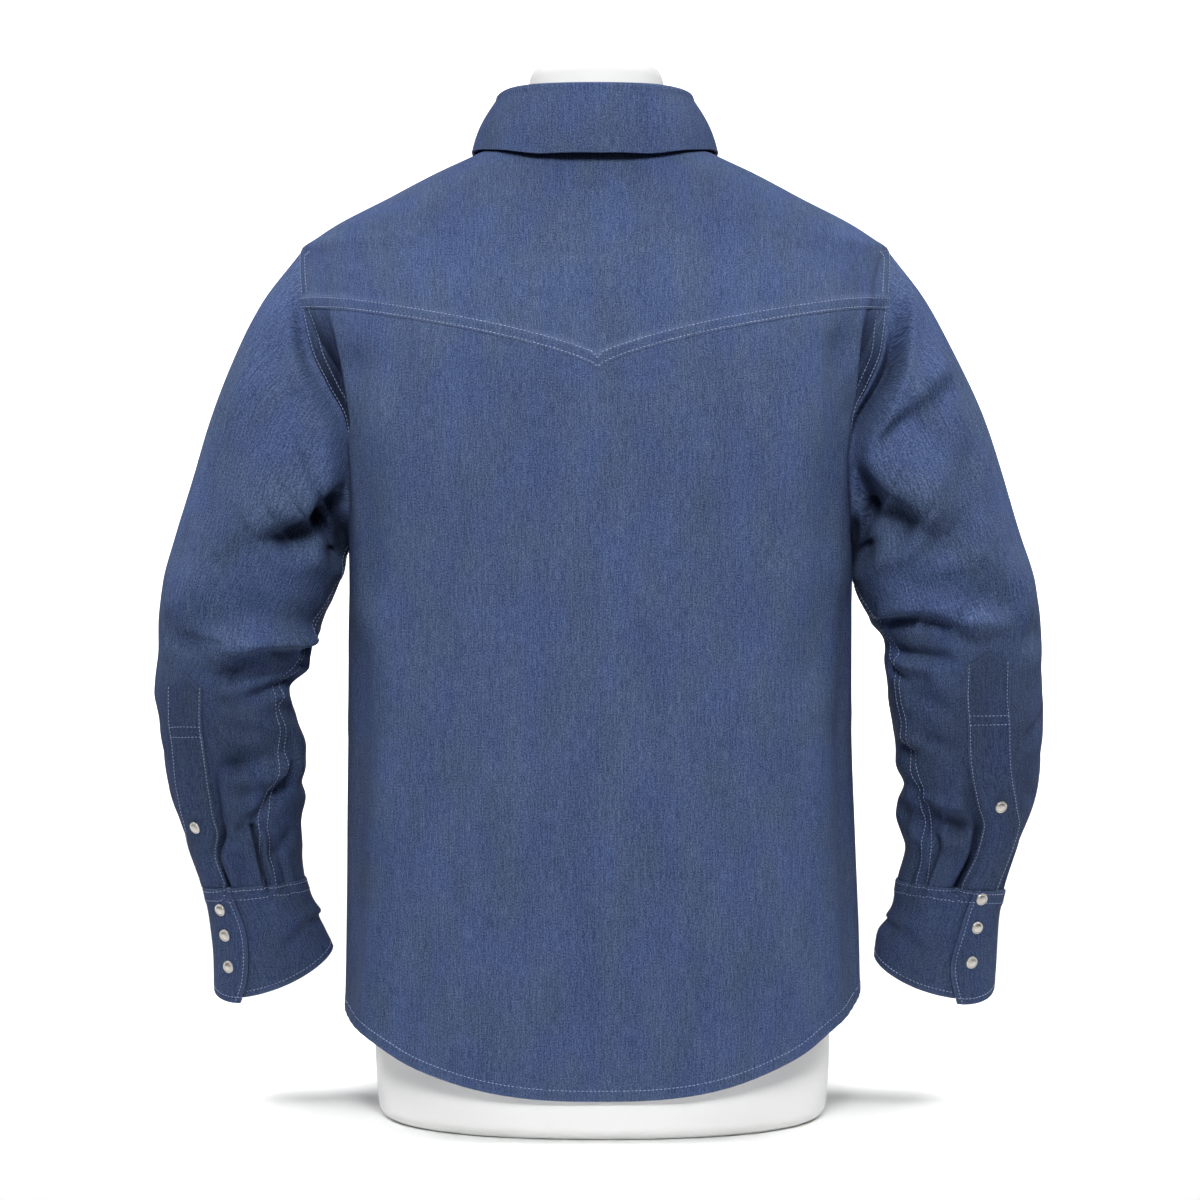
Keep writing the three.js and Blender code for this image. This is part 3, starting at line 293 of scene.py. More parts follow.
def armholePoint(step, side):
    angle = np.asarray(step, float) * 2 * np.pi / armholeSteps
    top, low = body["shoulderZ"], body["underarmZ"]
    z = (top + low) / 2 + (top - low) / 2 * np.cos(angle)
    depth = np.where(np.sin(angle) >= 0, body["armholeBack"], body["armholeFront"])
    y = depth * np.sin(angle) * (1 - body["armholeScoop"] * np.cos(angle))
    return point(torso["lean"](z) + side * armholeHalfWidth(z), y, z)


def stepAtZ(z):
    top, low = body["shoulderZ"], body["underarmZ"]
    share = np.clip((z - (top + low) / 2) / ((top - low) / 2), -1, 1)
    return float(np.arccos(share) * armholeSteps / (2 * np.pi))


def bodyRow(side, startTurn, heights, shares, step=None, out=None, turns=None):
    if step is None:
        seam, endTurn = torsoPoint(90 * side, heights(1.0)), 90.0 * side
    else:
        seam = armholePoint(step, side)
        endTurn = side * turnAtDepth(seam[1], seam[2])
    pull = seam - torsoPoint(endTurn, seam[2])
    turn = mix(startTurn, 90 * side, shares) - (90 * side - endTurn) * shares ** 3
    if turns:
        turn = turns(shares, turn)
    made = torsoPoint(turn, heights(shares), out(shares) if out else 0.0)
    made = made + pull * ease((shares - 0.62) / 0.38)[:, None]
    if step is None:
        return made
    # beside the armhole the cloth dips to the seam and rounds over before it
    edge = np.linalg.norm(made - made[-1], axis=1)
    isBack = startTurn == 0
    sideName = ("right", "left")[side > 0]
    dip = 0.0
    for z, spread, distance, width, depth in body["armholeFolds"][sideName if isBack else "front"]:
        dip = dip + depth * np.exp(-((made[:, 2] - z) / spread) ** 2 - ((edge - distance) / width) ** 2)
    if isBack:
        dip = dip - body["hollow"][sideName][-1] * inHollow(made, side)
    outward = np.stack([0.55 * side + 0 * shares, 0.83 * np.sign(made[:, 1]), 0 * shares], axis=1)
    return made + outward * (dip * ease(edge / 7))[:, None]


def inHollow(points, side):
    edgeX, lean, top, low, depth = body["hollow"][("right", "left")[side > 0]]
    z = points[..., 2]
    beyond = ease((np.abs(points[..., 0] - torso["lean"](z)) - edgeX - lean * (z - 550)) / 8)
    return beyond * ease((top - z) / 70) * ease((z - low) / 16)


def hemZ(centreZ, turn, side):
    across = np.abs(torsoPoint(turn, 90.0)[..., 0] - torso["lean"](90.0)) / torso["halfWidth"](90.0)
    sideZ = body["hemLeftZ"] if side > 0 else body["hemRightZ"]
    return mix(centreZ, sideZ, np.clip(across, 0, 1) ** body["hemCurve"])


yokeEnd = armholePoint(body["yokeSeamStep"], 1)
yokeEndTurn = turnAtDepth(yokeEnd[1], yokeEnd[2])


def yokeSeamHeight(share):
    turn = 90 * share - (90 - yokeEndTurn) * share ** 3
    across = lambda value: torsoPoint(value, yokeEnd[2])[..., 0] - torso["lean"](yokeEnd[2])
    rise = np.clip(across(turn) / across(yokeEndTurn), 0, 1) ** body["yokeCurve"]
    return mix(body["yokeTipZ"], yokeEnd[2], rise)


def neckBackHeight(share):
    return mix(body["neckBackZ"], body["neckSideZ"], share ** 2)


neckHalfWidth = float(torso["halfWidth"](body["neckSideZ"]))


def neckAngle(share):
    return mix(math.asin(body["bandHalfWidth"] / neckHalfWidth), math.pi / 2, share)


def neckFrontHeight(share):
    return mix(body["neckFrontZ"], body["neckSideZ"], 1 - np.cos(neckAngle(share)))


halfShares = np.linspace(0, 1, 76)
lowRows = np.linspace(0, 1, 130)[:-1]


def joinHalves(right, left):
    return np.concatenate([right[:, :0:-1], left], axis=1)


def backHalf(side):
    rows = []
    for rise in lowRows:
        heights = lambda share: mix(hemZ(body["hemBackZ"], 90 * share, side), body["underarmZ"], rise)
        rows.append(bodyRow(side, 0, heights, halfShares))
    for z in np.linspace(body["underarmZ"], yokeEnd[2], 62):
        rise = (z - body["underarmZ"]) / (yokeEnd[2] - body["underarmZ"])
        heights = lambda share: mix(body["underarmZ"], yokeSeamHeight(share), rise)
        rows.append(bodyRow(side, 0, heights, halfShares, step=stepAtZ(z)))
    return np.array(rows)


def yokeHalf(side):
    rows = []
    ridge = [(z, None) for z in np.linspace(body["shoulderZ"], body["neckSideZ"], 34)]
    for z, step in [(z, stepAtZ(z)) for z in np.linspace(yokeEnd[2], body["shoulderZ"], 20)[:-1]] + ridge:
        rise = (z - yokeEnd[2]) / (body["neckSideZ"] - yokeEnd[2])
        heights = lambda share: mix(yokeSeamHeight(share), neckBackHeight(share), rise)
        rows.append(bodyRow(side, 0, heights, halfShares, step=step))
    return np.array(rows)


def frontHalf(side, edgeX, out):
    rows = []
    shares = np.linspace(0, 1, 66)
    lap = np.linspace(edgeX, side * body["bandHalfWidth"], 13)[:-1]

    def addRow(heights, step, turns):
        z = float(heights(0.0))
        overlap = torsoPoint(turnAtFrontX(lap, z), z, float(out(0.0)))
        startTurn = float(turnAtFrontX(side * body["bandHalfWidth"], z))
        rows.append(np.concatenate([overlap, bodyRow(side, startTurn, heights, shares, step, out, turns)]))

    low, shoulder, neck = body["underarmZ"], body["shoulderZ"], body["neckSideZ"]
    for rise in lowRows:
        addRow(lambda share: mix(hemZ(body["hemFrontZ"], 180 - 90 * share, side), low, rise), None, None)
    upper = [(z, armholeSteps - stepAtZ(z), 0.0) for z in np.linspace(low, shoulder, 78)[:-1]]
    for z in np.linspace(shoulder, neck, 34):
        upper.append((z, None, float(ease((z - shoulder) / (neck - shoulder)))))
    for z, step, nearNeck in upper:
        rise = (z - low) / (neck - low)

        def turns(share, turn):
            x = side * neckHalfWidth * np.sin(neckAngle(share))
            pull = mix(rise ** 3 * (1 - share ** 2), 1, nearNeck)
            return mix(turn, turnAtFrontX(x, neckFrontHeight(share)), pull)

        addRow(lambda share: mix(low, neckFrontHeight(share), rise), step, turns)
    return np.array(rows)


def lapOut(share):
    return body["lapStep"] * (1 - ease(np.asarray(share) / 0.35))


backGrid = joinHalves(backHalf(-1), backHalf(1))
yokeGrid = joinHalves(yokeHalf(-1), yokeHalf(1))
frontLeftGrid = frontHalf(1, -body["bandHalfWidth"], lapOut)
frontRightGrid = frontHalf(-1, body["underlap"], lambda share: 0 * np.asarray(share))
print("body shaped")


# The sleeves

leftSleeve = {
    "side": 1,
    "rings": table(
        "outerX outerZ innerX innerZ centreY halfDepth",
        (239, 688, 198, 456, 0, 52), (268, 648, 201, 453, 4, 64), (290, 604, 203, 449, 7, 70),
        (307, 558, 205, 442, 8, 69), (322, 508, 209, 427, 8, 66), (336, 464, 215, 408, 8, 62),
        (347, 424, 225, 388, 7, 58), (352, 392, 229, 370, 4, 55), (353, 366, 233, 357, 0, 52),
        (355, 340, 250, 340, -4, 49), (354, 314, 246, 318, -10, 49), (351, 286, 238, 290, -18, 47),
        (348, 257, 240, 257, -27, 45), (342, 231, 244, 228, -36, 42), (333, 205, 244, 207, -42, 40),
        (324, 176, 242, 183, -48, 38), (319, 145, 233, 156, -54, 37), (317, 119, 226, 136, -58, 35),
        (317, 94, 221, 124, -61, 33)),
    # ring and degrees round the sleeve (0 outside, 90 behind) at a fold's start and end, its width and depth
    "folds": [
        (0.4, 136, 2.4, 139, 9, -11), (2.4, 139, 3.9, 114, 9, -10), (0.5, 158, 2.9, 156, 15, -11),
        (7.9, 160, 8.6, 84, 9, -3.5), (7.4, 200, 8.6, 270, 14, -5), (6.9, 150, 7.6, 85, 14, 4),
        (10.9, 150, 11.4, 75, 10, -5), (12.9, 200, 13.1, 290, 12, -5), (9.6, 250, 11, 320, 14, -6),
        (4.2, 235, 6.5, 290, 18, -6),
    ],
    "fineFolds": [
        (8.3, 150, 8.8, 105, 5, -3), (8.6, 165, 9.2, 130, 6, -4.5), (9.3, 120, 9.7, 80, 7, -3),
        (7.1, 40, 7.9, 75, 9, -3), (5.9, 105, 6.9, 70, 12, -3), (4.6, 60, 5.6, 85, 13, -2.7),
        (3.2, 45, 5.2, 35, 14, -3), (2.2, 70, 4.0, 60, 13, -3.3), (10.2, 95, 10.6, 130, 6, -2.7),
        (11.7, 150, 12.2, 105, 7, -3), (12.2, 128, 13.2, 96, 6, -3.3), (13.4, 150, 14.1, 120, 7, -3),
        (14.1, 90, 15.1, 84, 4, -2.4), (13.0, 110, 15.1, 111, 2.6, -7), (13.4, 118, 15.1, 120, 5, 3),
        (14.0, 135, 15.1, 138, 4, -2.7), (14.2, 20, 15.1, 18, 4, -2.2), (13.8, 330, 15.1, 332, 5, -3),
        (14, 290, 15.1, 288, 4, -2.7), (14.1, 250, 15.1, 252, 5, -2.7), (14.2, 210, 15.1, 212, 4, -2.4),
        (9.9, 10, 10.6, 40, 8, -2.7), (11.5, 350, 12.2, 25, 7, -2.7), (8.3, 300, 8.9, 350, 9, -3.8),
        (6.1, 210, 7.5, 245, 9, -4.5), (10.5, 200, 11.2, 240, 8, -4.5), (12.1, 230, 12.6, 300, 8, -3.6),
        (3.0, 300, 5.0, 320, 14, -3.6), (1.5, 250, 2.8, 235, 11, -4.5), (2.5, 265, 4.5, 262, 11, -3.8),
    ],
    # as the folds, with the step's width, its height and how far it reaches either side
    "creases": [
        (8.5, 87, 7.95, 93, 2.2, 7, 13), (7.95, 93, 7.15, 122, 2.2, 9.5, 15),
        (7.15, 122, 6.9, 150, 2.6, 9, 15), (6.9, 150, 6.5, 172, 3.0, 8, 15),
        (7.1, 48, 7.2, 92, 2.2, 1.6, 10), (11.4, 74, 11.5, 110, 2.5, -5.1, 14),
        (11.2, 150, 12.0, 128, 3.5, 5.1, 13), (12.0, 128, 12.8, 104, 4.0, 4.4, 14),
        (0.3, 125, 1.5, 123.5, 3.5, 9, 24), (1.5, 123.5, 2.7, 122, 3.5, 10, 24),
        (2.7, 122, 3.7, 107, 3.5, 9, 20), (3.7, 107, 4.3, 92, 3.5, 6, 16),
        (13.6, 76, 14.8, 84, 2.5, -2.7, 9), (9.4, 150, 9.9, 172, 3.5, 4.1, 14),
        (8.6, 230, 8.2, 300, 4, 5.1, 18), (11.3, 220, 11.6, 280, 3.5, 4.2, 14),
        (5.2, 240, 4.8, 290, 5, 5.1, 22), (16.2, 190, 16.1, 150, 2.5, 4, 9),
        (16.1, 150, 16.6, 108, 3, 2.5, 9),
    ],
    "capFolds": [
        (0.45, 62, 0.24, 12, 6), (0.55, 80, 0.3, 12, 8), (0.6, 100, 0.34, 10, 5), (0.8, 44, 0.5, 12, 2),
        (0.14, 76, 0.1, 18, -4), (0.5, 255, 0.3, 20, 3.0), (0.5, 290, 0.3, 16, 2.6),
    ],
    "slitTop": 10.6,
    "seam": table("at turn", (0, 180), (3, 180), (6, 166), (9, 153), (11, 140), (13, 119), (15, 115)),
    "flapEdge": table("at turn", (15, -9), (16.3, -1), (17.2, -5), (18, -15)),
    "cuffEdgeTurn": 78, "cuffSnapTurn": 53, "cuffSnapRings": (15.55, 16.18, 17.0),
    "bandTopRing": 9.05, "bandPeak": 14, "bandSnapRing": 13.1, "bandBars": (10.2, 10.48),
    "bandLine": table("at turn", (9.05, 63), (11.4, 54.5), (13.1, 52), (14.3, 31), (15, 32)),
}
rightSleeve = {
    "side": -1,
    "rings": table(
        "outerX outerZ innerX innerZ centreY halfDepth",
        (231, 688, 198, 456, 0, 52), (258, 650, 200, 451, 4, 65), (281, 606, 201, 445, 7, 72),
        (302, 560, 202, 437, 8, 71), (319, 510, 204, 421, 8, 67), (333, 464, 210, 405, 8, 63),
        (346, 422, 218, 392, 6, 59), (351, 390, 228, 377, 2, 55), (353, 362, 230, 357, -2, 52),
        (353, 336, 232, 335, -6, 50), (356, 307, 237, 306, -13, 48), (355, 281, 239, 281, -20, 47),
        (353, 257, 245, 254, -27, 45), (349, 235, 242, 236, -33, 43), (340, 210, 249, 209, -40, 40),
        (330, 174, 244, 182, -48, 38), (326, 145, 240, 155, -54, 37), (325, 121, 229, 136, -58, 35),
        (324, 95, 227, 117, -61, 33)),
    "folds": [
        (0.7, 124, 1.7, 136, 9, -11), (1.7, 136, 3.5, 113, 9, -10), (0.7, 150, 2.8, 150, 15, -11),
        (4.1, 62, 4.8, 112, 13, -5), (7.3, 160, 7.7, 88, 10, -4), (6.5, 150, 6.8, 85, 14, 4),
        (7.2, 205, 8.4, 275, 14, -5), (12.9, 165, 13.3, 95, 10, -6), (10.4, 240, 11.6, 320, 14, -6),
        (4.4, 240, 6.4, 300, 18, -6),
    ],
    "fineFolds": [
        (7.5, 155, 7.8, 110, 5, -4.5), (8.0, 165, 8.5, 130, 6, -3.6), (8.9, 140, 9.4, 105, 7, -2.7),
        (7.2, 30, 7.6, 72, 9, -3), (5.7, 100, 6.2, 65, 12, -3), (3.3, 55, 4.0, 85, 12, -3.9),
        (2.1, 75, 3.4, 62, 12, -3.9), (2.8, 40, 5.0, 30, 14, -2.7), (10.3, 130, 10.7, 95, 7, -3),
        (11.9, 150, 12.3, 110, 6, -3), (13.3, 140, 14.2, 112, 7, -3.3), (12.5, 120, 12.9, 98, 5, 2.7),
        (13.7, 122, 15.1, 126, 3.2, -3.5), (13.5, 114, 15.1, 118, 5, 3), (14.0, 100, 15.1, 98, 4, -2.7),
        (14, 145, 15.1, 148, 4, -2.7), (14.2, 20, 15.1, 22, 4, -2.4), (13.8, 340, 15.1, 342, 5, -3),
        (14, 300, 15.1, 298, 4, -2.7), (14.1, 255, 15.1, 252, 5, -2.7), (14.2, 215, 15.1, 212, 4, -2.4),
        (9.7, 15, 10.3, 45, 8, -2.7), (11.3, 345, 12.1, 20, 7, -2.7), (8.4, 300, 9.0, 345, 9, -3.8),
        (6.3, 215, 7.4, 245, 9, -4.5), (9.6, 205, 10.4, 235, 8, -4.5), (12.0, 230, 12.6, 300, 8, -3.6),
        (3.2, 300, 5.2, 322, 14, -3.6), (1.5, 250, 2.8, 235, 11, -4.5), (2.5, 265, 4.5, 262, 11, -3.8),
    ],
    "creases": [
        (5.8, 158, 6.0, 120, 2.6, 10, 20), (6.0, 120, 6.6, 100, 2.6, 9, 20),
        (6.6, 100, 7.5, 84, 3.0, 7, 18), (12.1, 146, 12.6, 115, 3.0, 6.1, 16),
        (12.6, 115, 12.9, 86, 3.5, 5.4, 16), (10.3, 162, 10.6, 138, 3.5, 5.1, 14),
        (2.15, 40, 1.7, 69, 2.5, 5, 13), (1.7, 69, 0.9, 99, 2.5, 6, 14), (0.5, 116, 2.0, 114, 3.5, 9, 24),
        (2.0, 114, 3.6, 101, 3.5, 9, 20), (3.6, 101, 4.3, 88, 4, 5, 16), (16.3, 190, 16.3, 142, 2.5, 4, 9),
        (16.3, 142, 16.7, 106, 3, 2.5, 9), (8.0, 166, 8.5, 140, 4, 3.7, 14),
        (4.9, 120, 5.2, 80, 5, 2.7, 18), (8.0, 230, 7.6, 300, 4, 5.1, 18),
        (11.3, 220, 11.6, 280, 3.5, 4.2, 14), (5.2, 240, 4.8, 290, 5, 5.1, 22),
    ],
    "capFolds": [
        (0.7, 34, 0.25, 12, 4), (0.75, 50, 0.26, 12, 6), (0.85, 70, 0.28, 13, 8), (0.85, 88, 0.28, 12, 8),
        (0.7, 106, 0.3, 9, 4), (0.3, 76, 0.26, 15, -16), (0.28, 98, 0.28, 13, -14),
        (0.5, 255, 0.3, 20, 3.0), (0.5, 290, 0.3, 16, 2.6),
    ],
    "slitTop": 10.9,
    "seam": table("at turn", (0, 180), (3, 180), (6, 168), (9, 157), (11, 146), (13, 136), (15, 131)),
    "flapEdge": table("at turn", (15, -5), (16, 3), (17, 6), (18, -3)),
    "cuffEdgeTurn": 77, "cuffSnapTurn": 63, "cuffSnapRings": (15.22, 15.98, 16.92),
    "bandTopRing": 8.05, "bandPeak": 10, "bandSnapRing": 12.5, "bandBars": (9.58, 9.82),
    "bandLine": table(
        "at turn", (8.05, 79), (10, 80), (11.4, 77), (12.5, 68), (13.4, 56), (14.1, 55), (15, 61)),
}
sleeveShape = {
    "cuffRing": 15, "lastRing": 18, "foldRadius": 55, "ringLength": 24, "rows": 230, "columns": 161,
    "bandHalfWidth": 16, "bandCalmTurn": 20, "bandOut": 2,
    # the slit beside the band: its width, its depth, and how much deeper it gets from a ring on
    "slitWidth": 4.6, "slitDepth": 9, "slitDeeper": 7, "slitDeeperRing": 12.6,
}


def bandTurn(sleeve, at):
    return curve(sleeve["bandLine"]["at"], sleeve["bandLine"]["turn"])(at)


def prepareSleeve(sleeve):
    rings = sleeve["rings"]
    number = np.arange(len(rings["outerX"]), dtype=float)
    shape = {name: curve(number, values) for name, values in rings.items()}
    middle = point(
        (rings["outerX"] + rings["innerX"]) / 2, rings["centreY"], (rings["outerZ"] + rings["innerZ"]) / 2)
    lengths = np.concatenate([[0], np.cumsum(np.linalg.norm(np.diff(middle, axis=0), axis=1))])
    sleeve["shape"], sleeve["middle"] = shape, middle * [sleeve["side"], 1, 1]
    sleeve["lengthAt"] = curve(number, lengths)


def sleeveFolds(sleeve, at, turn):
    around = lambda degrees: np.radians(degrees) * sleeveShape["foldRadius"]
    lengthAt = sleeve["lengthAt"]
    folds = sleeve["folds"] + sleeve["fineFolds"]
    total = foldDepth(folds, lengthAt, around, lengthAt(at), around(turn))
    total += creaseDepth(sleeve["creases"], lengthAt, around, lengthAt(at), around(turn))
    near = turn - 360 * np.round(turn / 360)
    offBand = np.abs(near - bandTurn(sleeve, at)) - sleeveShape["bandCalmTurn"]
    calm = ease(at - sleeve["bandTopRing"] + 1.5) * (1 - ease(offBand / sleeveShape["bandCalmTurn"]))
    sway = 2 * np.sin(np.radians(turn))
    drift = 0.5 * np.sin(lengthAt(at) / 21 + sway) * np.sin(np.radians(turn) * 4 + at)
    total = (total + drift) * ease(at / 1.2) * (1 - 0.9 * calm)
    # the open slit beside the band, and the hollow and ridge beside the armhole
    beside = (near - bandTurn(sleeve, at)) * np.radians(1) * radiusAt(sleeve, at)
    beside = (beside - sleeveShape["bandHalfWidth"] - 3) / sleeveShape["slitWidth"]
    opened = ease((at - sleeve["slitTop"]) / 1.5) * (1 - ease((at - 14.9) / 0.4))
    deeper = sleeveShape["slitDeeper"] * ease((at - sleeveShape["slitDeeperRing"]) / 1.2)
    total -= (sleeveShape["slitDepth"] + deeper) * np.exp(-beside ** 2) * opened
    return total + armholeFolds(sleeve, at, turn)


def armholeFolds(sleeve, at, turn):
    # short folds right at the armhole, which aren't eased in: ring, turn, spread of each, height
    total = 0.0
    for ring, middle, ringSpread, turnSpread, height in sleeve["capFolds"]:
        away = ((at - ring) / ringSpread) ** 2 + ((turn - middle) / turnSpread) ** 2
        total = total + height * np.exp(-away)
    return total * ease(at / 0.25)


def sleevePoint(sleeve, at, turn, out=0.0):
    at, turn = np.broadcast_arrays(np.asarray(at, float), np.asarray(turn, float))
    shape, side = sleeve["shape"], sleeve["side"]

    def plain(at, out):
        outer = point(side * shape["outerX"](at), shape["centreY"](at), shape["outerZ"](at))
        inner = point(side * shape["innerX"](at), shape["centreY"](at), shape["innerZ"](at))
        across = (outer - inner) / 2
        half = np.linalg.norm(across, axis=-1)
        across = across * ((half + out) / half)[..., None]
        made = (outer + inner) / 2 + across * np.cos(np.radians(turn))[..., None]
        made[..., 1] += (shape["halfDepth"](at) + out) * np.sin(np.radians(turn))
        return made

    made = plain(at, out + sleeveFolds(sleeve, at, turn))
    # the cuff's edge hangs lower behind than in front
    sine = np.sin(np.radians(turn))
    made[..., 2] -= cuff["sag"] * ease((at - 15.3) / 2.7) * np.where(sine > 0, sine, 0.4 * sine)
    hold = (1 - ease(at / 2.2))[..., None]
    seam = armholePoint(turn / 360 * armholeSteps, side)
    return made + (seam - plain(np.zeros_like(at), 0.0)) * hold


def radiusAt(sleeve, at):
    shape = sleeve["shape"]
    half = np.hypot(shape["outerX"](at) - shape["innerX"](at), shape["outerZ"](at) - shape["innerZ"](at)) / 2
    return (half + shape["halfDepth"](at)) / 2


def outwardsAt(sleeve, at, turn, out):
    along = sleevePoint(sleeve, at + 0.05, turn, out) - sleevePoint(sleeve, at - 0.05, turn, out)
    around = sleevePoint(sleeve, at, turn + 2, out) - sleevePoint(sleeve, at, turn - 2, out)
    normal = np.cross(along, around) * sleeve["side"]
    return normal / np.linalg.norm(normal)


cuff = {
    "lap": 28, "standOut": 0.8, "gapRings": 0.012, "layerGap": 0.4, "thickness": 2.2,
    "sag": 17, "flapDrop": 4,
}


def cuffOut(travelled):
    return cuff["standOut"] + (cuff["thickness"] + cuff["layerGap"]) * ease((travelled - 310) / 45)


def cuffGrid(sleeve):
    at = np.linspace(sleeveShape["cuffRing"] + cuff["gapRings"], sleeveShape["lastRing"], 36)[:, None]
    bow = curve(sleeve["flapEdge"]["at"], sleeve["flapEdge"]["turn"])(at)
    travelled = np.linspace(0, 1, 150)[None, :] * (360 + cuff["lap"] + bow)
    made = sleevePoint(sleeve, at, sleeve["cuffEdgeTurn"] - cuff["lap"] + travelled, cuffOut(travelled))
    made[..., 2] -= cuff["flapDrop"] * ease((travelled - 330) / 50) * ease((at - 16.2) / 1.8)
    return made


def sleeveBandGrid(sleeve):
    top, end = sleeve["bandTopRing"], sleeveShape["cuffRing"] - cuff["gapRings"]
    rows = []
    for at in np.concatenate([[top], np.linspace(top + 0.08, end, 78)]):
        across = np.linspace(-1, 1, 15)
        nearTop = max(0, 1 - (at - top) / 1.2)
        peak = sleeve["bandPeak"] / sleeveShape["ringLength"] * (1 - np.abs(across)) * nearTop
        halfTurn = np.degrees(across * sleeveShape["bandHalfWidth"] / radiusAt(sleeve, at))
        rows.append(sleevePoint(sleeve, at - peak, bandTurn(sleeve, at) + halfTurn, sleeveShape["bandOut"]))
    return np.array(rows)


for sleeve in (leftSleeve, rightSleeve):
    prepareSleeve(sleeve)
    sleeve["at"] = np.linspace(0, sleeveShape["cuffRing"], sleeveShape["rows"])[:, None]
    sleeve["turn"] = np.linspace(-180, 180, sleeveShape["columns"])[None, :]
    sleeve["grid"] = sleevePoint(sleeve, sleeve["at"], sleeve["turn"])
    sleeve["cuffGrid"] = cuffGrid(sleeve)
    sleeve["bandGrid"] = sleeveBandGrid(sleeve)
print("sleeves shaped")


# The collar and its stand

collar = {
    "standBack": 34, "standFront": 25, "standEnd": 13, "standOut": 0.5, "standLean": 6, "thickness": 2.2,
    "edge": table(
        "turn reach z", (0, 88, 752), (25, 93, 752), (45, 101, 757), (65, 100, 762), (90, 96, 765),
        (118, 101, 760), (130, 105, 748), (140, 108, 720), (153, 112, 683)),
    "roll": table(
        "share out up", (0, -2.3, 0.4), (0.25, -1.4, 3.4), (0.5, 1.6, 4.8), (0.75, 4.8, 3.2), (1, 6.2, -1)),
    "bow": 3,
}


def resample(line, count):
    # evenly spaced points along a line
    lengths = np.concatenate([[0], np.cumsum(np.linalg.norm(np.diff(line, axis=0), axis=1))])
    wanted = np.linspace(0, lengths[-1], count)
    return np.stack([np.interp(wanted, lengths, line[:, i]) for i in range(3)], axis=1)


def buildNeck():
    neckline = np.concatenate([frontRightGrid[-1], yokeGrid[-1][1:-1], frontLeftGrid[-1][::-1]])
    neckline = resample(neckline, 260)
    last = len(neckline) - 1
    index = np.arange(last + 1)
    line = neckline[np.minimum(index + 1, last)] - neckline[np.maximum(index - 1, 0)]
    outwards = np.stack([-line[:, 1], line[:, 0], 0 * index], axis=1)
    outwards /= np.linalg.norm(outwards, axis=1)[:, None]
    for i in range(8):  # the stand turns its corners smoothly
        wide = np.vstack([outwards[:1], outwards, outwards[-1:]])
        outwards = (wide[:-2] + wide[1:-1] + wide[2:]) / 3
    outwards /= np.linalg.norm(outwards, axis=1)[:, None]
    lengths = np.concatenate([[0], np.cumsum(np.linalg.norm(np.diff(neckline, axis=0), axis=1))])
    return neckline, outwards, lengths


neckline, neckOutwards, neckLengths = buildNeck()
neckSlope = np.gradient(neckline, axis=0)
neckRun = np.hypot(neckSlope[:, 0], neckSlope[:, 1])
neckSteepness = np.linalg.norm(neckSlope, axis=1) / np.maximum(0.4, neckRun)
neckLift = 0.3 * neckSteepness  # keeps the stand clear of the cloth where the neckline runs steeply
fromEnd = np.minimum(neckLengths, neckLengths[-1] - neckLengths)
standHeight = mix(collar["standFront"], collar["standBack"], ease(fromEnd / (neckLengths[-1] / 2)))
standHeight = mix(collar["standEnd"], standHeight, ease(fromEnd / 13) ** 0.6)
lapLift = (1 - ease((neckLengths[-1] - neckLengths - 34) / 30)) * (neckLengths > neckLengths[-1] / 2)


def standRow(share):
    out = collar["standOut"] + lapLift - collar["standLean"] * share
    made = neckline + neckOutwards * out[:, None]
    made[:, 2] += neckLift + standHeight * share
    return made


standGrid = np.array([standRow(share) for share in np.linspace(0, 1, 16)])


def buildCollar():
    # the collar is sewn to the stand between the two middles of the front, short of the stand's lapping ends
    wanted = np.linspace(body["underlap"] + 4.5, neckLengths[-1] - body["bandHalfWidth"] - 4.5, 190)
    base = np.stack([np.interp(wanted, neckLengths, standGrid[-1][:, i]) for i in range(3)], axis=1)
    outwards = np.stack([np.interp(wanted, neckLengths, neckOutwards[:, i]) for i in range(3)], axis=1)
    middle = np.array([float(torso["lean"](body["neckSideZ"])), 0, 0])
    turn = np.degrees(np.arctan2(base[:, 0] - middle[0], base[:, 1]))
    endTurn = np.where(turn < 0, abs(turn[0]), abs(turn[-1]))
    edge = curves(collar["edge"], "turn")
    lastTurn = collar["edge"]["turn"][-1]
    pastSide = np.maximum(0, np.abs(turn) - 90) / (endTurn - 90)
    edgeTurn = np.minimum(np.abs(turn), 90) + (lastTurn - 90) * pastSide
    reach = edge["reach"](edgeTurn)
    ends = np.stack([
        middle[0] + np.sign(turn) * reach * np.sin(np.radians(edgeTurn)),
        reach * np.cos(np.radians(edgeTurn)), edge["z"](edgeTurn)], axis=1)
    roll = curves(collar["roll"], "share")
    rows = []
    for share in np.linspace(0, 1, 15):
        row = base + outwards * float(roll["out"](share))
        row[:, 2] += float(roll["up"](share))
        rows.append(row)
    rolled = rows[-1]
    for share in np.linspace(0, 1, 26)[1:]:
        bowed = outwards * (collar["bow"] * math.sin(math.pi * share))
        rows.append(rolled + (ends - rolled) * share + bowed)
    return np.array(rows)


collarGrid = buildCollar()
print("collar shaped")


# Cloth shells

def normalsOf(grid, mirrored, closed=False):
    if closed:
        wide = np.concatenate([grid[:, -2:-1], grid, grid[:, 1:2]], axis=1)
        across = wide[:, 2:] - wide[:, :-2]
    else:
        across = np.gradient(grid, axis=1)
    along = np.gradient(grid, axis=0)
    normals = np.cross(along, across)
    normals /= np.maximum(np.linalg.norm(normals, axis=-1, keepdims=True), 1e-9)
    return -normals if mirrored else normals


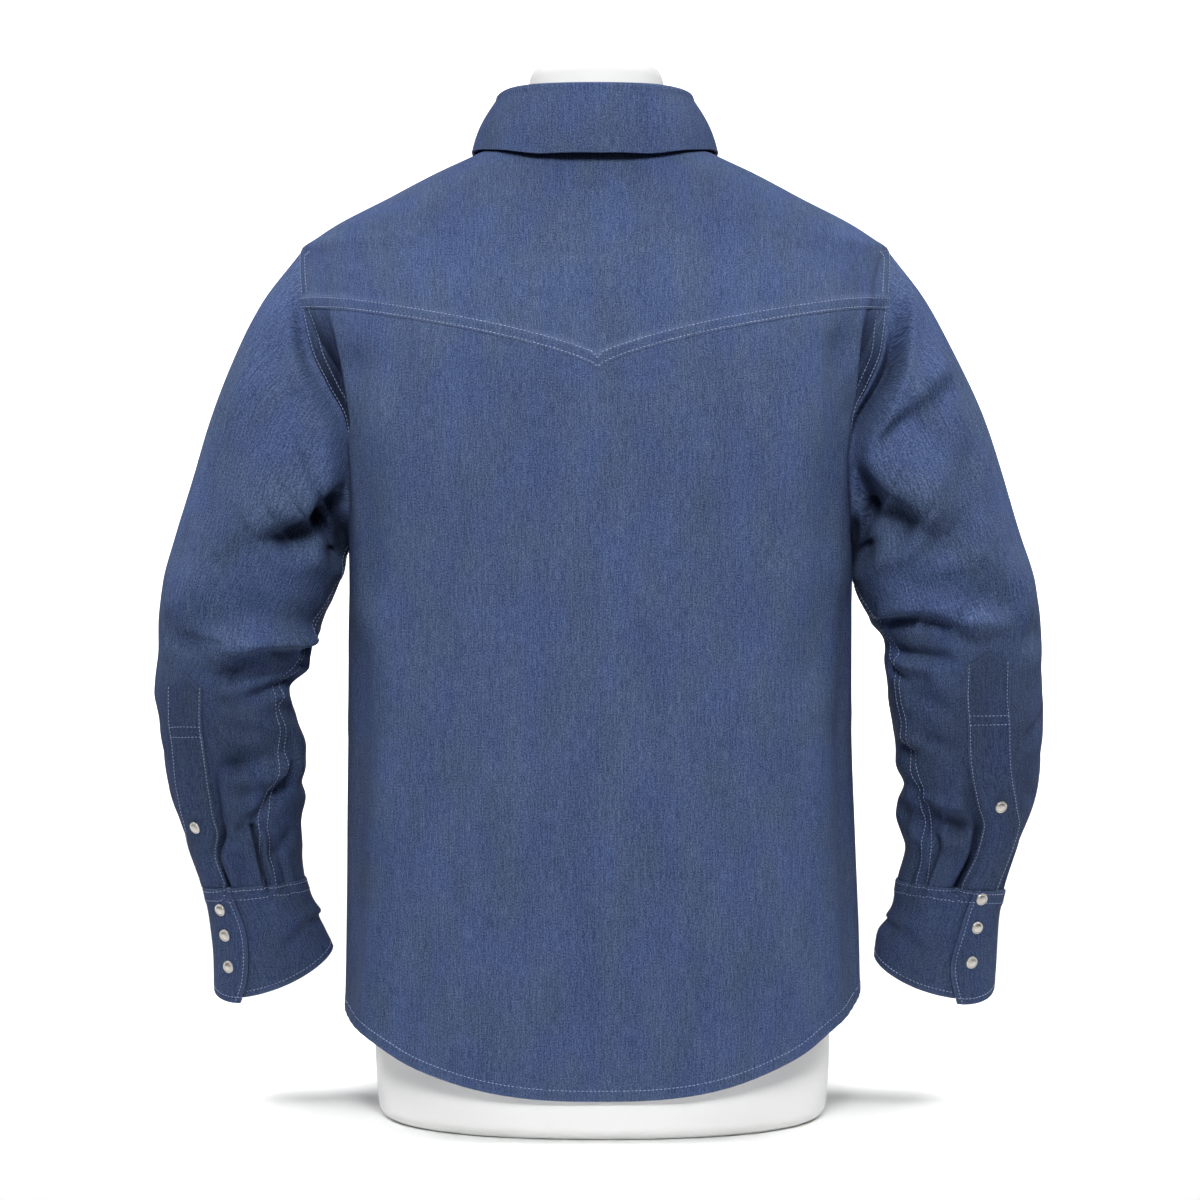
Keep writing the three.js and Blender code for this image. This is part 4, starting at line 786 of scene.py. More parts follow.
def fromEdge(grid, edge):
    # distance of each point from one edge of its grid, along the row or column
    axis = 0 if edge in ("first", "last") else 1
    steps = np.linalg.norm(np.diff(grid, axis=axis), axis=-1)
    start = np.zeros_like(steps[:1] if axis == 0 else steps[:, :1])
    lengths = np.concatenate([start, np.cumsum(steps, axis=axis)], axis=axis)
    if edge in ("last", "right"):
        lengths = (lengths[-1:] if axis == 0 else lengths[:, -1:]) - lengths
    return lengths


def grainOf(grid):
    # the cloth's own coordinates in metres: across the grain from the middle, and along it
    steps = np.linalg.norm(np.diff(grid, axis=1), axis=-1)
    across = np.concatenate([np.zeros((len(grid), 1)), np.cumsum(steps, axis=1)], axis=1)
    across -= across[:, grid.shape[1] // 2][:, None]
    along = np.concatenate([np.zeros((1, grid.shape[1])), np.cumsum(
        np.linalg.norm(np.diff(grid, axis=0), axis=-1), axis=0)])
    return np.stack([across, along + grid[:1, :, 2]], axis=-1) * mm


def quadsOf(index):
    # the four corners of each quad of a grid
    return np.stack([index[:-1, :-1], index[:-1, 1:], index[1:, 1:], index[1:, :-1]], axis=-1).reshape(-1, 4)


def shell(name, grid, thickness, mirrored, closed, grain, material, raised):
    # a wall of cloth: the outer surface, the inner one a thickness below it, and a rim along its open edges
    grain = grainOf(grid) if grain is None else grain
    normals = normalsOf(grid, mirrored, closed)
    outer = grid if raised is None else grid + normals * raised[..., None]
    inner = grid - normals * thickness
    rows, columns = grid.shape[:2]
    used = columns - 1 if closed else columns
    index = (np.arange(rows)[:, None] * used + np.arange(columns)[None, :] % used)
    flat = np.arange(rows * columns).reshape(rows, columns)
    quad, quadGrain = quadsOf(index), quadsOf(flat)
    if not mirrored:
        quad, quadGrain = quad[:, ::-1], quadGrain[:, ::-1]
    count = rows * used
    edges = [(index[0], flat[0]), (index[-1][::-1], flat[-1][::-1])]
    if not closed:
        edges += [(index[:, 0][::-1], flat[:, 0][::-1]), (index[:, -1], flat[:, -1])]
    rims, rimGrain = [], []
    for line, lineGrain in edges:
        a, b, ga, gb = line[:-1], line[1:], lineGrain[:-1], lineGrain[1:]
        rim = np.stack([b, a, a + count, b + count], axis=-1)
        rimPlaces = np.stack([gb, ga, ga, gb], axis=-1)
        if not mirrored:
            rim, rimPlaces = rim[:, ::-1], rimPlaces[:, ::-1]
        rims.append(rim)
        rimGrain.append(rimPlaces)
    faces = np.concatenate([quad, quad[:, ::-1] + count, *rims])
    corners = np.concatenate([quadGrain, quadGrain[:, ::-1], *rimGrain])
    points = np.concatenate([outer[:, :used].reshape(-1, 3), inner[:, :used].reshape(-1, 3)]) * mm
    mesh = bpy.data.meshes.new(name)
    mesh.from_pydata(points.tolist(), [], faces.tolist())
    layer = mesh.uv_layers.new(name="grain")
    layer.data.foreach_set("uv", grain.reshape(-1, 2)[corners.ravel()].ravel())
    mesh.polygons.foreach_set("use_smooth", [True] * len(mesh.polygons))
    mesh.set_sharp_from_angle(angle=math.radians(60))
    made = bpy.data.objects.new(name, mesh)
    bpy.context.scene.collection.objects.link(made)
    mesh.materials.append(material)
    return made


def tucked(grid, normals, reach=5.0, sink=1.3):
    # carries a panel's top edge on a little, under the panel that is sewn over it
    away = grid[-1] - grid[-2]
    away /= np.maximum(np.linalg.norm(away, axis=-1, keepdims=True), 1e-9)
    rows = [grid]
    for share in (0.3, 0.65, 1.0):
        rows.append([grid[-1] + away * reach * share - normals[-1] * sink * min(1, share * 1.6)])
    return np.concatenate(rows)


def felledEdge(grid, edge, width=10.5, height=0.7):
    # the doubled cloth of a felled seam stands up a little beside the seam
    away = fromEdge(grid, edge)
    return height * ease((away + 1) / 1.5) * (1 - ease((away - width) / 2.5))


def pucker(grid, edge, offsets, depth=0.22, wave=8.5):
    # thread pulls the cloth in a little along a stitched line, unevenly
    away = fromEdge(grid, edge)
    axis = 1 if edge in ("first", "last") else 0
    steps = np.linalg.norm(np.diff(grid, axis=axis), axis=-1)
    zero = np.zeros_like(steps[:, :1] if axis == 1 else steps[:1])
    run = np.concatenate([zero, np.cumsum(steps, axis=axis)], axis=axis)
    ripple = np.sin(run * 2 * np.pi / wave + 1.7 * np.sin(run / 23))
    reach = sum(np.exp(-((away - offset) / 3.5) ** 2) for offset in offsets)
    return depth * ripple * np.clip(reach, 0, 1)


# Materials

def newMaterial(name):
    material = bpy.data.materials.new(name)
    material.use_nodes = True
    tree = material.node_tree
    return material, tree, tree.nodes["Principled BSDF"]


denim = {
    "deep": "#313f5e", "mid": "#425274", "pale": "#5c6b8c", "seamPale": "#6d7b99",
    "washCool": "#f2f5ff", "washWarm": "#fafaf5",
    # painted shade: the dark colour the cloth is darkened towards in its hollows, underarms, sides and lower
    # sleeves, and the most of it that is given
    "hollow": "#2a3348", "paintedShadeShare": 0.85,
    # millimetres across and along the cloth. Real threads and twill are half as wide, and are drawn
    # coarser so that they show at the photo's distance
    "slub": (0.85, 9), "longSlub": (1.3, 45), "speck": (1.05, 1.2), "weft": (7, 0.85), "twill": 1.1,
    "wash": (26, 85), "blotch": (30, 60),
    # how much of the tone each gives, how much the weft shows and how much a rubbed edge fades
    "slubShare": 0.3, "longSlubShare": 0.12, "speckShare": 0.58, "weftShare": 0.22, "rubShare": 0.3,
    "bump": 0.22,
}


def noiseAt(tree, coordinates, size, detail=2.0, roughness=0.55):
    # noise stretched to a size in millimetres across and along the cloth
    scale = (1 / (size[0] * mm), 1 / (size[1] * mm), 1)
    scaled = addNode(tree, "ShaderNodeVectorMath", {0: coordinates, 1: scale}, 0, operation="MULTIPLY")
    return addNode(tree, "ShaderNodeTexNoise", {
        "Vector": scaled, "Scale": 1.0, "Detail": detail, "Roughness": roughness}, "Fac",
        noise_dimensions="2D")


def buildDenim(name):
    # washed cotton denim: matt, with slubby indigo threads over a pale weft
    material, tree, shader = newMaterial(name)
    grain = addNode(tree, "ShaderNodeUVMap", out="UV", uv_map="grain")
    weft = noiseAt(tree, grain, denim["weft"])
    threads = 0.0
    for thread, detail, roughness in (("slub", 2.0, 0.55), ("longSlub", 1.0, 0.55), ("speck", 2.0, 0.6)):
        noise = noiseAt(tree, grain, denim[thread], detail, roughness)
        threads = addNode(tree, "ShaderNodeMath", {0: noise, 1: denim[thread + "Share"], 2: threads}, 0,
                          operation="MULTIPLY_ADD")
    colour = addNode(tree, "ShaderNodeValToRGB", {"Fac": threads}, "Color", [
        (0.38, denim["deep"]), (0.5, denim["mid"]), (0.62, denim["pale"])])

    flecks = addNode(tree, "ShaderNodeValToRGB", {"Fac": weft}, "Color", [(0.56, 0.0), (0.70, 1.0)])
    rubbed = addNode(tree, "ShaderNodeAttribute", out="Fac", attribute_name="wear")
    # painted shade: each panel's attribute darkens the cloth towards the dark painted-shade colour
    paintedShade = addNode(tree, "ShaderNodeAttribute", out="Fac", attribute_name="paintedShade")
    for blend, mask, share, tint in (
            ("MIX", flecks, denim["weftShare"], denim["pale"]),
            ("MIX", rubbed, denim["rubShare"], denim["seamPale"]),
            ("MULTIPLY", paintedShade, denim["paintedShadeShare"], denim["hollow"])):
        amount = addNode(tree, "ShaderNodeMath", {0: mask, 1: share}, 0, operation="MULTIPLY")
        colour = addNode(tree, "ShaderNodeMix", {0: amount, 6: colour, 7: linear(tint)}, 2,
                         data_type="RGBA", blend_type=blend)
    wash = addNode(tree, "ShaderNodeValToRGB", {
        "Fac": noiseAt(tree, grain, denim["wash"], 2.0, 0.5)}, "Color", [(0.3, 0.88), (0.7, 1.0)])
    blotch = addNode(tree, "ShaderNodeValToRGB", {
        "Fac": noiseAt(tree, grain, denim["blotch"], 1.0)}, "Color", [
        (0.35, denim["washCool"]), (0.65, denim["washWarm"])])
    for tone in (wash, blotch):
        colour = addNode(tree, "ShaderNodeMix", {0: 1.0, 6: colour, 7: tone}, 2,
                         data_type="RGBA", blend_type="MULTIPLY")
    tree.links.new(colour, shader.inputs["Base Color"])
    shader.inputs["Roughness"].default_value = 0.88
    shader.inputs["Specular IOR Level"].default_value = 0.12

    # the diagonal ribs of the twill, and the relief of threads and weft
    across = addNode(tree, "ShaderNodeVectorMath", {
        0: grain, 1: (2 * math.pi / (denim["twill"] * mm), 1.6 * math.pi / (denim["twill"] * mm), 0)},
        "Value", operation="DOT_PRODUCT")
    twill = addNode(tree, "ShaderNodeMath", {0: across}, 0, operation="SINE")
    height = threads
    for relief, share in ((twill, 0.12), (weft, 0.35)):
        height = addNode(tree, "ShaderNodeMath", {0: relief, 1: share, 2: height}, 0,
                         operation="MULTIPLY_ADD")
    bump = addNode(tree, "ShaderNodeBump", {
        "Strength": denim["bump"], "Distance": 0.5 * mm, "Height": height}, "Normal")
    tree.links.new(bump, shader.inputs["Normal"])
    return material


def buildPlain(name, colour, roughness, grainSize, grainBump, metallic=0.0):
    # one colour, with a fine grain in millimetres that breaks up its gloss
    material, tree, shader = newMaterial(name)
    shader.inputs["Base Color"].default_value = linear(colour)
    shader.inputs["Metallic"].default_value = metallic
    place = addNode(tree, "ShaderNodeTexCoord", out="Object")
    noise = addNode(tree, "ShaderNodeTexNoise", {
        "Vector": place, "Scale": 1 / (grainSize * mm), "Detail": 3.0, "Roughness": 0.5}, "Fac")
    bump = addNode(tree, "ShaderNodeBump", {
        "Strength": grainBump, "Distance": 0.2 * mm, "Height": noise}, "Normal")
    tree.links.new(bump, shader.inputs["Normal"])
    gloss = addNode(tree, "ShaderNodeValToRGB", {"Fac": noise}, "Color", [
        (0.3, roughness - 0.04), (0.7, min(1.0, roughness + 0.05))])
    tree.links.new(gloss, shader.inputs["Roughness"])
    return material


denimCloth = buildDenim("washedDenim")
# matt cotton sewing thread
threadCotton = buildPlain("greyBlueThread", "#8f9dbd", 0.8, 1.2, 0.5)
# satin plated metal, with a soft broad shine
snapMetal = buildPlain("satinSnapCap", "#cbc7c0", 0.4, 2.0, 0.05, metallic=1.0)
# moulded matt plastic, with almost no shine
formPlastic = buildPlain("mattWhiteForm", "#ebebea", 0.62, 3.0, 0.06)
print("materials built")


# Panels of the body

def wearOf(grid, edges):
    # paler where a stitched edge stands up and rubs
    worn = np.zeros(grid.shape[:2])
    for edge, places in edges:
        away = fromEdge(grid, edge)
        for place in places:
            worn = np.maximum(worn, np.exp(-((away - place) / 1.1) ** 2))
    return worn


def addShare(made, name, share, inner, closed=False):
    used = (share[:, :-1] if closed else share).ravel()
    attribute = made.data.attributes.new(name, "FLOAT", "POINT")
    attribute.data.foreach_set("value", np.concatenate([used, used * inner]))


def addPanel(name, node, grid, mirrored=False, closed=False, thickness=1.2, raised=None, wear=(), grain=None,
             paintedShade=None):
    made = shell(name, grid, thickness, mirrored, closed, grain, denimCloth, raised)
    addShare(made, "wear", wearOf(grid, wear), 0, closed)
    # painted shade, given alike on the outer and the inner surface of the cloth
    addShare(made, "paintedShade", np.zeros(grid.shape[:2]) if paintedShade is None else paintedShade, 1, closed)
    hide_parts(node)
    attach(made, "root")
    return made


# how much painted shade darkens the cloth, from 0 where it is left as it is to 1 at the darkest
paintedShadeAmounts = {
    "bodyHollow": 0.9, "bodySides": 0.3, "sleeveHollow": 0.75, "underarm": 0.85, "forearm": 0.38,
    "cuff": 0.36, "sleeveBand": 0.4,
}


def bodyPaintedShade(grid):
    # painted shade: darker in the hollows by the armholes and towards the sides, where the cloth turns away
    # from the light
    across, z = grid[..., 0] - torso["lean"](grid[..., 2]), grid[..., 2]
    hollow = np.where(across > 0, inHollow(grid, 1), inHollow(grid, -1))
    sides = paintedShadeAmounts["bodySides"] * ease((np.abs(across) - 155) / 45) * ease((600 - z) / 60)
    return np.clip(paintedShadeAmounts["bodyHollow"] * hollow + sides, 0, 1)


backNormals = normalsOf(backGrid, False)
backTucked = tucked(backGrid, backNormals)
yokeRaised = felledEdge(yokeGrid, "first") + pucker(yokeGrid, "first", (1.5, 8.5), 0.16)
backRaised = pucker(backTucked, "first", (3, 7), 0.45, 10)
# the back is darkened with painted shade by the armholes and at its sides
backPiece = addPanel("denimBack", "back", backTucked, raised=backRaised, wear=[("first", (1,))],
                     paintedShade=bodyPaintedShade(backTucked))
yokePiece = addPanel("denimYoke", "yoke", yokeGrid, raised=yokeRaised, wear=[("first", (0.5, 10.5))])
frontLeftPiece = addPanel("denimFrontLeft", "front_left", frontLeftGrid, mirrored=True,
                          raised=pucker(frontLeftGrid, "first", (8,), 0.25, 10), wear=[("first", (1,))])
frontRightPiece = addPanel("denimFrontRight", "front_right", frontRightGrid,
                           raised=pucker(frontRightGrid, "first", (8,), 0.25, 10), wear=[("first", (1,))])
print("body panels made")


# The band down the front

bandColumns = 13
bandGrid = frontLeftGrid[:, :bandColumns].copy()
bandGrid[-1] = mix(bandGrid[-1], bandGrid[-3], 0.5)
bandGrid = bandGrid + normalsOf(bandGrid, True) * 1.6
bandPiece = addPanel("denimFrontPlacket", "front_placket", bandGrid, mirrored=True,
                     raised=pucker(bandGrid, "left", (4,), 0.15), wear=[("left", (0.5,)), ("right", (0.5,))])


# Sleeves, with their cuffs and the pointed bands over the slits

def sleeveGrain(sleeve):
    # the warp runs along the sleeve's middle line, also over the cap, where the rings lean
    grid, middle = sleeve["grid"], sleeve["middle"]
    line = resample(np.concatenate([[middle[0] + 4 * (middle[0] - middle[1])], middle]), 150)
    step = np.linalg.norm(line[1] - line[0])
    tangent = np.gradient(line, axis=0)
    tangent /= np.linalg.norm(tangent, axis=1)[:, None]
    points = grid.reshape(-1, 3)
    place = np.argmin(((points[:, None] - line[None]) ** 2).sum(axis=-1), axis=1).astype(float)
    index = np.arange(len(line))
    for i in range(5):
        near = np.stack([np.interp(place, index, line[:, k]) for k in range(3)], axis=1)
        way = np.stack([np.interp(place, index, tangent[:, k]) for k in range(3)], axis=1)
        place = place + ((points - near) * way).sum(axis=1) / step
    outwards = np.stack([-way[:, 2], 0 * place, way[:, 0]], axis=1) * sleeve["side"]
    away = points - near
    turn = np.degrees(np.arctan2(away[:, 1], (away * outwards).sum(axis=1))).reshape(grid.shape[:2])
    wanted = np.linspace(-180, 180, grid.shape[1])[None, :]
    turn = turn + 360 * np.round((wanted - turn) / 360)
    around = np.radians(turn) * sleeveShape["foldRadius"]
    return np.stack([around, -step * place.reshape(turn.shape)], axis=-1) * mm


def sleevePaintedShade(sleeve):
    # painted shade: darker in the hollows of the folds and in the underarm, and darker down the forearm
    at, turn = sleeve["at"], sleeve["turn"]
    hollow = paintedShadeAmounts["sleeveHollow"] * ease(-sleeveFolds(sleeve, at, turn) / 24)
    underarm = paintedShadeAmounts["underarm"] * ease((np.abs(turn) - 136) / 14) * ease((3.9 - at) / 2) * ease(at / 0.5)
    return np.clip(np.maximum(hollow, underarm) + paintedShadeAmounts["forearm"] * ease((at - 6) / 5), 0, 1)


def addSleeve(name, sleeve):
    mirrored = sleeve["side"] < 0
    made = addPanel("denimSleeve" + name, "sleeve_" + name.lower(), sleeve["grid"], mirrored, True,
                    grain=sleeveGrain(sleeve), paintedShade=sleevePaintedShade(sleeve))

    cuffRows = sleeve["cuffGrid"]
    cuffRaised = (pucker(cuffRows, "last", (5,), 0.18) + pucker(cuffRows, "first", (3, 10), 0.15)
                  + felledEdge(cuffRows, "first", 11, 0.5))
    # the cuff is evenly darkened with painted shade
    cuffPiece = addPanel("denimCuff" + name, "cuff_" + name.lower(), cuffRows, mirrored,
                         thickness=cuff["thickness"], raised=cuffRaised,
                         wear=[("last", (0.8,)), ("first", (0.5,)), ("right", (0.8,))],
                         paintedShade=np.full(cuffRows.shape[:2], paintedShadeAmounts["cuff"]))

    bandRows = sleeve["bandGrid"]
    # the band over the slit is evenly darkened with painted shade
    bandMade = addPanel("denimSleevePlacket" + name, "sleeve_placket_" + name.lower(), bandRows, mirrored,
                        raised=pucker(bandRows, "left", (2,), 0.12) + pucker(bandRows, "right", (2,), 0.12),
                        wear=[("left", (0.4,)), ("right", (0.4,)), ("first", (0.4,))],
                        paintedShade=np.full(bandRows.shape[:2], paintedShadeAmounts["sleeveBand"]))
    return made, cuffPiece, bandMade


leftPieces = addSleeve("Left", leftSleeve)
rightPieces = addSleeve("Right", rightSleeve)

standPiece = addPanel("denimCollarStand", "collar_stand", standGrid, thickness=collar["thickness"])
collarPiece = addPanel("denimCollar", "collar", collarGrid, thickness=collar["thickness"],
                       raised=pucker(collarGrid, "last", (6,), 0.2, 11), wear=[("last", (0.8,))])
print("sleeves, cuffs and collar made")


# Solids of revolution and other closed stacks of rings

def stack(name, rings, material):
    # rings run from the bottom up, each anticlockwise seen from above
    rows, columns = rings.shape[:2]
    index = np.arange(rows * columns).reshape(rows, columns)
    turned = np.roll(index, -1, axis=1)
    quads = np.stack([index[:-1], turned[:-1], turned[1:], index[1:]], axis=-1).reshape(-1, 4).tolist()
    points = rings.reshape(-1, 3)
    points = np.concatenate([points, rings[:1].mean(axis=1), rings[-1:].mean(axis=1)]) * mm
    low, high = rows * columns, rows * columns + 1
    fans = [(low, int(b), int(a)) for a, b in zip(index[0], turned[0])]
    fans += [(high, int(a), int(b)) for a, b in zip(index[-1], turned[-1])]
    mesh = bpy.data.meshes.new(name)
    mesh.from_pydata(points.tolist(), [], quads + fans)
    mesh.polygons.foreach_set("use_smooth", [True] * len(mesh.polygons))
    mesh.set_sharp_from_angle(angle=math.radians(50))
    mesh.materials.append(material)
    made = bpy.data.objects.new(name, mesh)
    bpy.context.scene.collection.objects.link(made)
    return made


# A snap's cap: a rolled rim round a shallow well and a low dome.
snap = {
    "profile": table(
        "radius height", (4.6, 0), (5.0, 0.15), (5.15, 0.6), (5.05, 1.15), (4.75, 1.5), (4.35, 1.62),
        (4.0, 1.5), (3.75, 1.3), (3.5, 1.3), (3.2, 1.55), (2.6, 1.85), (1.7, 2.08), (0.8, 2.18), (0.3, 2.2)),
    "sides": 40, "gap": 0.2,
}


def addSnap(name, node, centre, direction):
    aim = Vector(direction.tolist()).to_track_quat("Z", "Y").to_matrix()
    axes = np.array([[aim[i][j] for j in range(3)] for i in range(3)])
    angle = np.linspace(0, 2 * np.pi, snap["sides"], endpoint=False)[None, :]
    radius, height = snap["profile"]["radius"][:, None], snap["profile"]["height"][:, None] + snap["gap"]
    rings = point(radius * np.cos(angle), radius * np.sin(angle), height + 0 * angle) @ axes.T + centre
    made = stack(name, rings, snapMetal)
    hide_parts(node)
    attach(made, "root")


for name, sleeve in (("left", leftSleeve), ("right", rightSleeve)):
    at = sleeve["bandSnapRing"]
    turn = float(bandTurn(sleeve, at))
    out = sleeveShape["bandOut"]
    addSnap("snapPlacket" + name.title(), "snap_placket_" + name,
            sleevePoint(sleeve, at, turn, out), outwardsAt(sleeve, at, turn, out))
    for i, at in enumerate(sleeve["cuffSnapRings"], 1):
        turn, out = sleeve["cuffSnapTurn"], float(cuffOut(360))
        addSnap(f"snapCuff{name.title()}{i}", f"snap_cuff_{name}_{i}",
                sleevePoint(sleeve, at, turn, out), outwardsAt(sleeve, at, turn, out))

frontSnaps = {"topZ": 668, "bottomZ": 130, "count": 6}
for i, z in enumerate(np.linspace(frontSnaps["topZ"], frontSnaps["bottomZ"], frontSnaps["count"]), 1):
    slope = torsoPoint(180, z + 5) - torsoPoint(180, z - 5)
    direction = np.array([0, -slope[2], slope[1]])
    addSnap(f"snapFront{i}", f"snap_front_{i}", torsoPoint(180, z, 2 * body["lapStep"]),
            direction / np.linalg.norm(direction))
standColumn = int(np.argmin(np.abs(neckLengths - (neckLengths[-1] - body["bandHalfWidth"]))))
addSnap("snapStand", "snap_stand", standRow(0.5)[standColumn],
        normalsOf(standGrid, False)[len(standGrid) // 2, standColumn])


# The limbless form: one smooth moulded body with a rounded rim at its base and round the top of its neck.
form = {
    "rings": table(
        "z halfWidth back front square lean",
        (0, 168, 101, 99, 2.2, -2), (3, 174, 107, 105, 2.2, -2), (10, 178, 111, 109, 2.2, -2),
        (60, 181, 113, 110, 2.2, -2), (130, 178, 110, 107, 2.2, -2), (210, 162, 99, 101, 2.2, -1),
        (280, 154, 94, 99, 2.2, 0), (370, 161, 99, 105, 2.2, 0), (460, 170, 107, 112, 2.2, 0),
        (540, 174, 111, 110, 2.2, 1), (600, 183, 107, 100, 2.2, 2), (645, 202, 98, 88, 2.1, 4),
        (680, 213, 86, 76, 2.0, 4), (700, 205, 80, 71, 2.0, 4), (722, 168, 74, 67, 2.0, 4),
        (741, 129, 69, 63, 2.0, 4), (760, 88, 64, 59, 2.0, 4), (780, 62, 58, 56, 2.0, 3),
        (800, 56, 54, 54, 2.0, 3), (824, 53.5, 52, 53, 2.0, 3), (832, 50, 48, 49, 2.0, 3),
        (835, 42, 41, 42, 2.0, 3)),
    "columns": 120,
}


def buildForm():
    shape = curves(form["rings"], "z")
    # finer where the base and the top round over
    z = np.concatenate([
        np.linspace(0, 12, 10)[:-1], np.linspace(12, 820, 120)[:-1], np.linspace(820, 835, 14)])[:, None]
    angle = np.linspace(0, 2 * np.pi, form["columns"], endpoint=False)[None, :]
    sine, cosine = np.sin(angle), np.cos(angle)
    square = shape["square"](z)
    reach = (np.abs(cosine) ** square + np.abs(sine) ** square) ** (-1 / square)
    depth = np.where(sine > 0, shape["back"](z), shape["front"](z))
    made = stack("dressForm", point(shape["lean"](z) + shape["halfWidth"](z) * reach * cosine,
                                    depth * reach * sine, z + 0 * angle), formPlastic)
    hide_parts("dress_form")
    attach(made, "root")


buildForm()
print("snaps and form made")


# Stitching

stitch = {"pitch": 3.1, "length": 2.3, "thickness": 0.58, "lift": 0.08}


def insetPath(grid, normals, edge, offset, start=0, end=None, lift=0.0):
    # a line on the cloth at a distance in from one edge of its grid
    if edge in ("left", "right"):
        grid, normals = grid.transpose(1, 0, 2), normals.transpose(1, 0, 2)
        edge = "first" if edge == "left" else "last"
    if edge == "last":
        grid, normals = grid[::-1], normals[::-1]
    away = fromEdge(grid, "first")
    along = np.gradient(grid[0], axis=0)
    along /= np.maximum(np.linalg.norm(along, axis=1), 1e-9)[:, None]
    into = grid[1] - grid[0]
    into /= np.maximum(np.linalg.norm(into, axis=1), 1e-9)[:, None]
    slant = np.clip(np.linalg.norm(np.cross(along, into), axis=1), 0.3, 1)
    line = []
    for c in range(grid.shape[1])[start:end]:
        wanted = offset / slant[c]
        place = [np.interp(wanted, away[:, c], grid[:, c, k]) for k in range(3)]
        normal = np.array([np.interp(wanted, away[:, c], normals[:, c, k]) for k in range(3)])
        line.append(np.array(place) + normal / np.linalg.norm(normal) * (stitch["lift"] + lift))
    return np.array(line)


def rowPath(grid, normals, rowPlace):
    # a line across the cloth between two rows of its grid, short of its edges
    low = int(rowPlace)
    share = rowPlace - low
    line = mix(grid[low], grid[low + 1], share) + mix(normals[low], normals[low + 1], share) * stitch["lift"]
    return line[1:-1]


def stitchTree():
    # stitches laid end to end along each line, each an elongated bead with a little unevenness
    tree = bpy.data.node_groups.new("stitchRun", "GeometryNodeTree")
    for name, kind, direction in (
            ("Lines", "NodeSocketGeometry", "INPUT"), ("Pitch", "NodeSocketFloat", "INPUT"),
            ("Length", "NodeSocketFloat", "INPUT"), ("Thickness", "NodeSocketFloat", "INPUT"),
            ("Seed", "NodeSocketInt", "INPUT"), ("Thread", "NodeSocketMaterial", "INPUT"),
            ("Stitches", "NodeSocketGeometry", "OUTPUT")):
        tree.interface.new_socket(name, in_out=direction, socket_type=kind)
    given = tree.nodes.new("NodeGroupInput")
    result = tree.nodes.new("NodeGroupOutput")
    line = addNode(tree, "GeometryNodeMeshToCurve", {0: given.outputs["Lines"]}, 0)
    points = addNode(tree, "GeometryNodeCurveToPoints", {
        "Curve": line, "Length": given.outputs["Pitch"]}, mode="LENGTH")
    bead = addNode(tree, "GeometryNodeMeshUVSphere", {"Segments": 6, "Rings": 4, "Radius": 0.5}, "Mesh")
    tilt = addNode(tree, "FunctionNodeRandomValue", {
        "Min": (-0.06, -0.06, -0.06), "Max": (0.06, 0.06, 0.06), "Seed": given.outputs["Seed"]}, 0,
        data_type="FLOAT_VECTOR")
    aim = addNode(tree, "ShaderNodeVectorMath", {0: points.outputs["Tangent"], 1: tilt}, 0, operation="ADD")
    facing = addNode(tree, "FunctionNodeAlignRotationToVector", {"Vector": aim}, 0, axis="X")
    longer = addNode(tree, "FunctionNodeRandomValue", {2: 0.88, 3: 1.1, "Seed": given.outputs["Seed"]}, 1)
    length = addNode(tree, "ShaderNodeMath", {
        0: given.outputs["Length"], 1: longer}, 0, operation="MULTIPLY")
    size = addNode(tree, "ShaderNodeCombineXYZ", {
        "X": length, "Y": given.outputs["Thickness"], "Z": given.outputs["Thickness"]}, 0)
    placed = addNode(tree, "GeometryNodeInstanceOnPoints", {
        "Points": points.outputs["Points"], "Instance": bead, "Rotation": facing, "Scale": size}, 0)
    real = addNode(tree, "GeometryNodeRealizeInstances", {0: placed}, 0)
    painted = addNode(tree, "GeometryNodeSetMaterial", {
        "Geometry": real, "Material": given.outputs["Thread"]}, 0)
    tree.links.new(painted, result.inputs[0])
    return tree


def addStitches(name, lines, seed):
    # the lines go in as bare edges, and come out as one plain mesh of stitches
    points, edges = [], []
    for line in lines:
        first = len(points)
        points += (line * mm).tolist()
        edges += [(first + i, first + i + 1) for i in range(len(line) - 1)]
    mesh = bpy.data.meshes.new(name + "Lines")
    mesh.from_pydata(points, edges, [])
    source = bpy.data.objects.new(name + "Lines", mesh)
    bpy.context.scene.collection.objects.link(source)
    modifier = source.modifiers.new("stitches", "NODES")
    modifier.node_group = stitchNodes
    values = {"Pitch": stitch["pitch"] * mm, "Length": stitch["length"] * mm,
              "Thickness": stitch["thickness"] * mm, "Seed": seed, "Thread": threadCotton}
    for item in stitchNodes.interface.items_tree:
        if item.name in values:
            modifier[item.identifier] = values[item.name]
    made = bpy.data.meshes.new_from_object(source.evaluated_get(bpy.context.evaluated_depsgraph_get()))
    source.modifiers.clear()
    bpy.data.objects.remove(source)
    made.name = name
    made.polygons.foreach_set("use_smooth", [True] * len(made.polygons))
    finished = bpy.data.objects.new(name, made)
    bpy.context.scene.collection.objects.link(finished)
    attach(finished, "root")
    print("  ", name, len(made.polygons), "faces")


stitchNodes = stitchTree()


# rows of the grids at which the armholes start, and the shoulders on the fronts and on the yoke
armholeRow, frontShoulderRow, yokeShoulderRow = len(lowRows), 207, 20


